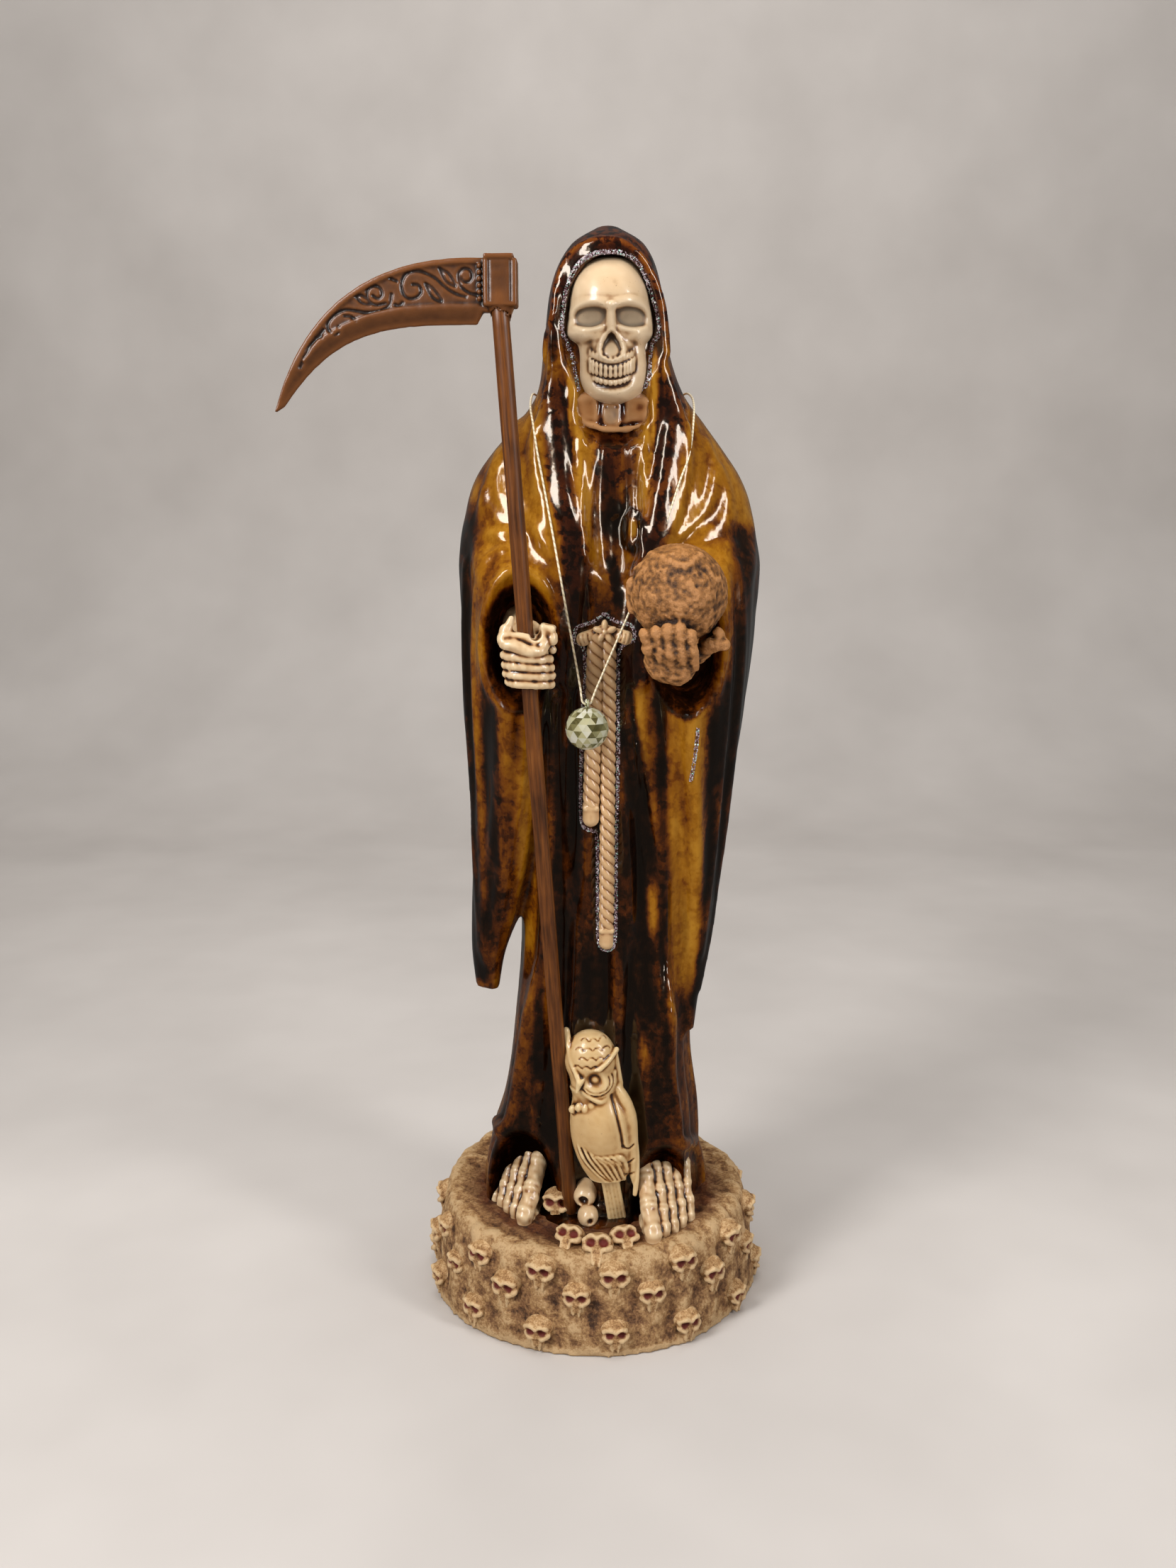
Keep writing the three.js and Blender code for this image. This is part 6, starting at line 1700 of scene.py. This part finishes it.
class FIGURE_OT_cord(FigureStep):
    """Makes the necklace cord with its knot, and the faceted crystal that hangs on it"""

    bl_idname = "figure.cord"
    bl_label = "Necklace"

    def make(self, sizes, finish):
        cotton = waxed_cord()
        radius = sizes.cord_diameter / MM / 2
        cord = curve_piece("necklace_thread", CORD_ROUTE, radius)
        knot = self.knot(radius)
        crystal = self.crystal(sizes.crystal_diameter / MM / 2)
        settle(cord, cotton, ["necklace_cord"])
        settle(knot, cotton)
        settle(crystal, lead_crystal(), ["crystal_ball"])

    def knot(self, radius):
        """An overhand knot with two short tails, behind the neck."""
        clay = Clay(np.array(CORD_KNOT) - 6, np.array(CORD_KNOT) + 6, 0.2)
        turns = np.linspace(0, 2 * math.pi, 40)
        size = 0.62
        loop = np.column_stack([
            np.sin(turns) + 2 * np.sin(2 * turns), -np.sin(3 * turns), np.cos(turns) - 2 * np.cos(2 * turns)])
        clay.add(string(loop * size + CORD_KNOT, radius), 0.15)
        for side in (-1, 1):
            tail = [(0, 0.4, -0.6), (side * 1.6, 1.0, -2.6), (side * 2.2, 0.8, -5)]
            clay.add(string(np.array(tail) + CORD_KNOT, radius), 0.15)
        return clay.piece("necklace_knot", 0.6)

    def crystal(self, radius):
        """Rows of flat facets each side of a girdle, with a drilled lug on top."""
        made = bmesh.new()
        lowest = min(point[2] for point in CORD_ROUTE)
        turn = [point for point in CORD_ROUTE if point[2] == lowest]
        middle = sum(point[0] for point in turn) / len(turn)
        lug_height = radius + LUG_DIAMETER / 4
        made.verts.new((0, 0, -radius))
        made.verts.new((0, 0, radius))
        for row in range(1, CRYSTAL_ROWS):
            latitude = -math.pi / 2 + math.pi * row / CRYSTAL_ROWS
            for i in range(CRYSTAL_FACETS):
                angle = 2 * math.pi * (i + 0.5 * (row % 2)) / CRYSTAL_FACETS + math.pi / 2
                reach = radius * math.cos(latitude)
                made.verts.new((reach * math.cos(angle), reach * math.sin(angle), radius * math.sin(latitude)))
        hull = bmesh.ops.convex_hull(made, input=made.verts)
        bmesh.ops.delete(made, geom=[v for v in hull["geom_interior"] if isinstance(v, bmesh.types.BMVert)],
                         context="VERTS")
        self.lug(made, lug_height)
        bmesh.ops.recalc_face_normals(made, faces=made.faces)
        made.transform(Matrix.Scale(MM, 4) @ Matrix.Translation((middle, turn[0][1], lowest - lug_height)))
        mesh = bpy.data.meshes.new("crystal_drop")
        made.to_mesh(mesh)
        made.free()
        mesh.shade_flat()
        # Painted glints and shade: each facet gets a random tone that the crystal's colour ramp turns from dark to
        # bright.
        facet_glints = mesh.attributes.new("facet", "FLOAT", "FACE")
        facet_glints.data.foreach_set("value", np.random.default_rng(5).random(len(mesh.polygons)).astype(np.float32))
        crystal = bpy.data.objects.new("crystal_drop", mesh)
        bpy.context.scene.collection.objects.link(crystal)
        return crystal

    def lug(self, made, height):
        """A small ring in the plane across the cord, sunk into the top of the ball."""
        middle, thick = (LUG_DIAMETER + LUG_HOLE) / 4, (LUG_DIAMETER - LUG_HOLE) / 4
        rings = []
        for i in range(20):
            a = 2 * math.pi * i / 20
            ring = []
            for j in range(10):
                b = 2 * math.pi * j / 10
                reach = middle + thick * math.cos(b)
                ring.append(made.verts.new((
                    1.05 * math.sin(b), reach * math.cos(a), height + reach * math.sin(a))))
            rings.append(ring)
        for i in range(20):
            for j in range(10):
                made.faces.new((rings[i][j], rings[(i + 1) % 20][j], rings[(i + 1) % 20][(j + 1) % 10],
                                rings[i][(j + 1) % 10]))


class FIGURE_OT_robe(FigureStep):
    """Carves the robe with its hood, sleeves and gown in amber resin"""

    bl_idname = "figure.robe"
    bl_label = "Robe"

    def make(self, sizes, finish):
        carved["amber"] = amber_resin()
        carved["robe"] = carve_robe()
        robe = carved["robe"].piece("robe", 4.5, {"amber": amber_and_shade_at, "red": red_at, "hollow": hollow_at})
        settle(robe, carved["amber"], ["figure"])


class FIGURE_OT_face(FigureStep):
    """Carves the skull in the hood, and the collar bones under it"""

    bl_idname = "figure.face"
    bl_label = "Skull and collar"

    def make(self, sizes, finish):
        carved["bone"] = bone_paint("glazed_ivory_paint", tuple(finish.bone), "8a5c34", "2c1508", "dcc098")
        skull = carve_face().piece("skull_face", 1.5, {"grey": grey_at})
        settle(skull, bone_paint("glazed_skull_paint", "cfb08a", "9c7550", "3a2110", "dfc5a2"), ["figure"])
        collar = carve_collar().piece("collar_bones", 1.6, {"grey": bone_grey_at})
        settle(collar, bone_paint("tan_tinted_resin", "9a683c", "6a3a1c", "2c1006", "b58558", gloss=0.12), ["figure"])


class FIGURE_OT_hands(FigureStep):
    """Carves the right fist, and the left hand with its globe"""

    bl_idname = "figure.hands"
    bl_label = "Hands and globe"

    def make(self, sizes, finish):
        fist = carve_fist().piece("right_fist", 1.0)
        settle(fist, carved["bone"], ["figure"])
        globe = carve_globe_hand().piece("globe_hand", 2.2)
        clay = sanded_paint("rough_painted_clay", "bd844e", "9c6834", "6c4520", "301909", crumb=1.7, rough=0.5)
        settle(globe, clay, ["figure"])


def red_eyes_at(x, y, z):
    """Where the small skulls' sockets are painted red."""
    return smooth_step(1.1 - np.hypot((np.abs(x) - 3.1) / 2.5, (z - 1.0) / 2.2), 0, 0.35) * smooth_step(-y, 1.5, 2.5)


def stain_at(x, y, z):
    """How brown the base's top is, round the feet and the hem."""
    return smooth_step(z, 42, 50) * (1 - smooth_step(np.hypot((x - 1) / 66, (y + 10) / 60), 0.86, 1.16))


def skull_rows(count):
    """Middles and turns of the small skulls in three rows round the base."""
    places, turns = [], []
    for row, (share, shift) in enumerate([(0.8, 0), (0.56, 0.5), (0.2, 0)]):
        for i in range(count):
            facing = 2 * math.pi * (i + shift) / count + BASE_TURN
            radius = BASE_BOTTOM_RADIUS + (BASE_TOP_RADIUS - BASE_BOTTOM_RADIUS) * share - 0.7
            height = BASE_HEIGHT * (share + 0.04 * math.sin(7.3 * i + row))
            places.append((radius * math.sin(facing), -radius * math.cos(facing), max(height, 9.8)))
            turns.append((0, 0, facing))
    return places, turns


class FIGURE_OT_base(FigureStep):
    """Makes the sandy base, and the rows of small skulls round it and between the feet"""

    bl_idname = "figure.base"
    bl_label = "Base"

    def make(self, sizes, finish):
        sand = sanded_paint("sand_textured_paint", "c8a578", tuple(finish.sand), "7c5431", "3e230e", 1.1)
        base = carve_base().piece("base_drum", 3.0, {"stain": stain_at})
        settle(base, sand, ["figure"])
        pattern = carve_small_skull().piece("small_skull_pattern", 1.3, {"red": red_eyes_at})
        painted = sanded_paint("sanded_skull_paint", "d6b588", "b98f5e", "855a30", "34160a", 0.6)
        tree = skull_ring_tree(painted)
        places, turns = skull_rows(sizes.skulls_around)
        ring = grown("base_skulls", places, [], tree, {"Skull": pattern, "Seed": 3}, turns)
        settle(ring, None, ["figure"])
        places = [(-12.5, -63.5, 50.4), (1.5, -71, 49.4), (15, -64, 50.4), (-19, -36, 56)]
        turns = [(-0.95, 0, -0.35), (-0.9, 0, -0.05), (-0.95, 0, 0.3), (-0.2, 0, -0.2)]
        floor = grown("floor_skulls", places, [], tree, {"Skull": pattern, "Seed": 5}, turns)
        settle(floor, None, ["figure"])
        bpy.data.objects.remove(pattern)


class FIGURE_OT_feet(FigureStep):
    """Carves the two skeletal feet"""

    bl_idname = "figure.feet"
    bl_label = "Feet"

    def make(self, sizes, finish):
        for name, place in (("right_foot", (-33, 1.5, -0.3, -1)), ("left_foot", (34, -17, 0.15, 1))):
            foot = carve_foot(*place).piece(name, 1.4)
            settle(foot, carved["bone"], ["figure"])


class FIGURE_OT_owl(FigureStep):
    """Carves the owl, and the loose bones beside it"""

    bl_idname = "figure.owl"
    bl_label = "Owl and bones"

    def make(self, sizes, finish):
        owl = carve_owl().piece("owl", 1.1)
        settle(owl, bone_paint("glazed_owl_paint", "c6a06c", "946330", "341a0a", "dcbf8e"), ["figure"])
        bones = carve_floor_bones().piece("floor_bones", 1.4)
        settle(bones, carved["bone"], ["figure"])


ROPE_TOP = 352
ROPE_TAILS = [(0.4, -2.5, 266, 4.1), (6.5, -0.4, 204, 3.8)]


class FIGURE_OT_rope(FigureStep):
    """Makes the rope belt: two twisted tails, their ends, and the knot with its flower"""

    bl_idname = "figure.rope"
    bl_label = "Rope belt"

    def make(self, sizes, finish):
        paint = bone_paint("glazed_rope_paint", "bd9468", "8c5f38", "2c1508", "d2b084")
        tree = rope_tree(paint)
        robe = carved["robe"]
        for side, (x, lean, bottom, radius) in enumerate(ROPE_TAILS):
            points = []
            for z in np.arange(ROPE_TOP, bottom, -4.0):
                at = x + lean * (ROPE_TOP - z) / 100
                points.append((at, robe.front(at, z) - 2.2, z))
            rope = grown(f"rope_tail_{side + 1}", points, line_edges(points), tree, {
                "Strand radius": radius * 0.56 * MM, "Twist radius": radius * 0.46 * MM,
                "Pitch": sizes.rope_pitch * 1.2})
            settle(rope, None, ["figure"])
        knot = self.knot(robe).piece("rope_knot", 1.2)
        settle(knot, paint, ["figure"])

    def knot(self, robe):
        """The knot's two arms and flower, and the bound ends of the tails."""
        clay = Carving((-12, -72, 188), (22, -46, 362), 0.55)
        arms = laid(robe, [(-5.4, 350.2), (0, 352), (4.6, 353.2), (9.4, 352.2), (14.4, 350.8)], -1.6, 14)
        clay.add(string(arms, [3.3, 3.0, 3.6, 3.0, 3.4]), 0.5)
        y = robe.front(4.6, 353.4) - 4.6
        for i in range(5):
            angle = math.radians(90 + 72 * i)
            across, up = math.cos(angle), math.sin(angle)
            clay.add(egg((4.6 + 2.9 * across, y - 0.8, 353.6 + 2.9 * up), (2.9, 1.7, 1.6), (0, -90 - 72 * i, 0)), 0.3)
        clay.add(egg((4.6, y - 1.8, 353.6), (1.2, 1.1, 1.2)), 0.2)
        for x in (-7, -4.6, -2.2, 11.4, 13.6, 15.8):
            side = 1 if x > 4 else -1
            clay.cut(string(laid(clay, [(x - side, 346.5), (x + side * 0.8, 351), (x + side, 356.5)], -0.1, 10), 0.5), 0.3)
        for (x, lean, bottom, radius), length in zip(ROPE_TAILS, (8, 9)):
            at = x + lean * (ROPE_TOP - bottom) / 100
            y = robe.front(at, bottom) - 2.0
            clay.add(string([(at, y, bottom + 4), (at, y, bottom - length + 6)], [radius * 0.95, radius * 0.98]), 0.6)
            clay.add(string([(at - 2.4, y - 2.4, bottom + 3.4), (at + 2.4, y - 2.4, bottom + 3.4)], 1.5), 0.5)
            for i in range(5):
                groove = at - 3.2 + 1.6 * i
                clay.cut(string([(groove, y - 4.2, bottom), (groove, y - 4.2, bottom - length + 4)], 0.4), 0.3)
        return clay


GLITTER_LINES = {
    "hood_glitter": [(-7.6, 463), (-8.8, 468.3), (-9.6, 473.2), (-10.6, 478.8), (-13, 484.5), (-15, 489), (-15.2, 494.4),
                     (-14.4, 500.7), (-12.9, 508.3), (-10.4, 514.6), (-6.3, 519.8), (-0.3, 523), (6.9, 524), (14.1, 523),
                     (19.2, 519.8), (23.2, 513.8), (26, 506.2), (28, 500.6), (29.4, 494.4), (29.6, 489), (27, 484.5),
                     (26, 479.5), (25.6, 473.9), (25, 469), (22.6, 463.4)],
    "rope_glitter_left": [(-8.4, 356), (-9.6, 350), (-5.2, 345.4), (-4.6, 330), (-5.9, 310), (-6.6, 270), (-5.4, 260),
                          (-1.2, 257.4), (1.0, 254), (1.4, 230), (1.6, 205), (3, 197.6), (5.6, 196)],
    "rope_glitter_right": [(-8.4, 356), (-2, 357.4), (1.4, 359), (4.6, 361.2), (8, 359), (12, 357.4), (17.4, 356),
                           (18.2, 350), (12, 345.4), (10.9, 330), (11.1, 300), (10.9, 270), (10.4, 240), (10.2, 205), (8.4, 197.6), (5.6, 196)],
    "sleeve_glitter": [(48.2, 308.8), (47.7, 299.8), (46.6, 289.5), (45.5, 282.4)],
}


class FIGURE_OT_glitter(FigureStep):
    """Scatters glitter along the hood's inner edge and round the rope"""

    bl_idname = "figure.glitter"
    bl_label = "Glitter"

    def make(self, sizes, finish):
        tree = glitter_tree(glitter_flakes())
        robe = carved["robe"]
        for seed, (name, path) in enumerate(GLITTER_LINES.items()):
            count = 16 * len(path)
            points = laid(robe, path, -0.1, count)
            band = 0.0009 if name == "hood_glitter" else 0.0007
            line = grown(name, points, line_edges(points), tree, {
                "Band radius": band, "Density": 2600000.0, "Flake radius": sizes.flake_radius, "Seed": seed + 2})
            settle(line, None, ["figure"])


class FIGURE_OT_scythe(FigureStep):
    """Makes the scythe: a turned wooden pole, and the cast blade with its socket"""

    bl_idname = "figure.scythe"
    bl_label = "Scythe"

    def make(self, sizes, finish):
        foot, top = Vector(pole_point(POLE_FOOT[2] + 0.4)), Vector(pole_point(POLE_END))
        turn = (top - foot).to_track_quat("Z", "Y").to_matrix().to_4x4()
        length, radius = (top - foot).length, sizes.pole_diameter / MM / 2
        rows = [(radius - 0.5, 0.0), (radius, 0.5)]
        rows += [(radius + 0.06 * math.sin(0.9 * i), length * i / 40) for i in range(1, 40)]
        rows += [(radius, length - 0.5), (radius - 0.5, length)]
        pole = lathe("scythe_pole_turned", rows, 32, Matrix.Translation(foot) @ turn)
        settle(pole, stained_wood(), ["scythe_pole"])
        blade = carve_blade().piece("scythe_blade_carved", 1.3)
        settle(blade, brown_cast(), ["scythe_blade"])


class FIGURE_PT_pieces(bpy.types.Panel):
    """Lists the figure's steps in the order they run"""

    bl_label = "Santa muerte figure"
    bl_idname = "FIGURE_PT_pieces"
    bl_space_type = "VIEW_3D"
    bl_region_type = "UI"
    bl_category = "Figure"

    def draw(self, context):
        for settings in (context.scene.figure_sizes, context.scene.figure_finish):
            for name in settings.__annotations__:
                self.layout.prop(settings, name)
        for step in STEPS:
            self.layout.operator(step.bl_idname)


STEPS = [
    FIGURE_OT_stage, FIGURE_OT_cord, FIGURE_OT_robe, FIGURE_OT_face, FIGURE_OT_hands, FIGURE_OT_base, FIGURE_OT_feet,
    FIGURE_OT_owl, FIGURE_OT_rope, FIGURE_OT_glitter, FIGURE_OT_scythe,
]
CLASSES = [FigureSizes, FigureFinish, *STEPS, FIGURE_PT_pieces]


def register():
    for each in CLASSES:
        bpy.utils.register_class(each)
    bpy.types.Scene.figure_sizes = PointerProperty(type=FigureSizes)
    bpy.types.Scene.figure_finish = PointerProperty(type=FigureFinish)


def unregister():
    del bpy.types.Scene.figure_finish
    del bpy.types.Scene.figure_sizes
    for each in reversed(CLASSES):
        bpy.utils.unregister_class(each)


def main():
    register()
    for step in STEPS:
        group, name = step.bl_idname.split(".")
        getattr(getattr(bpy.ops, group), name)()


if __name__ == "__main__":
    main()
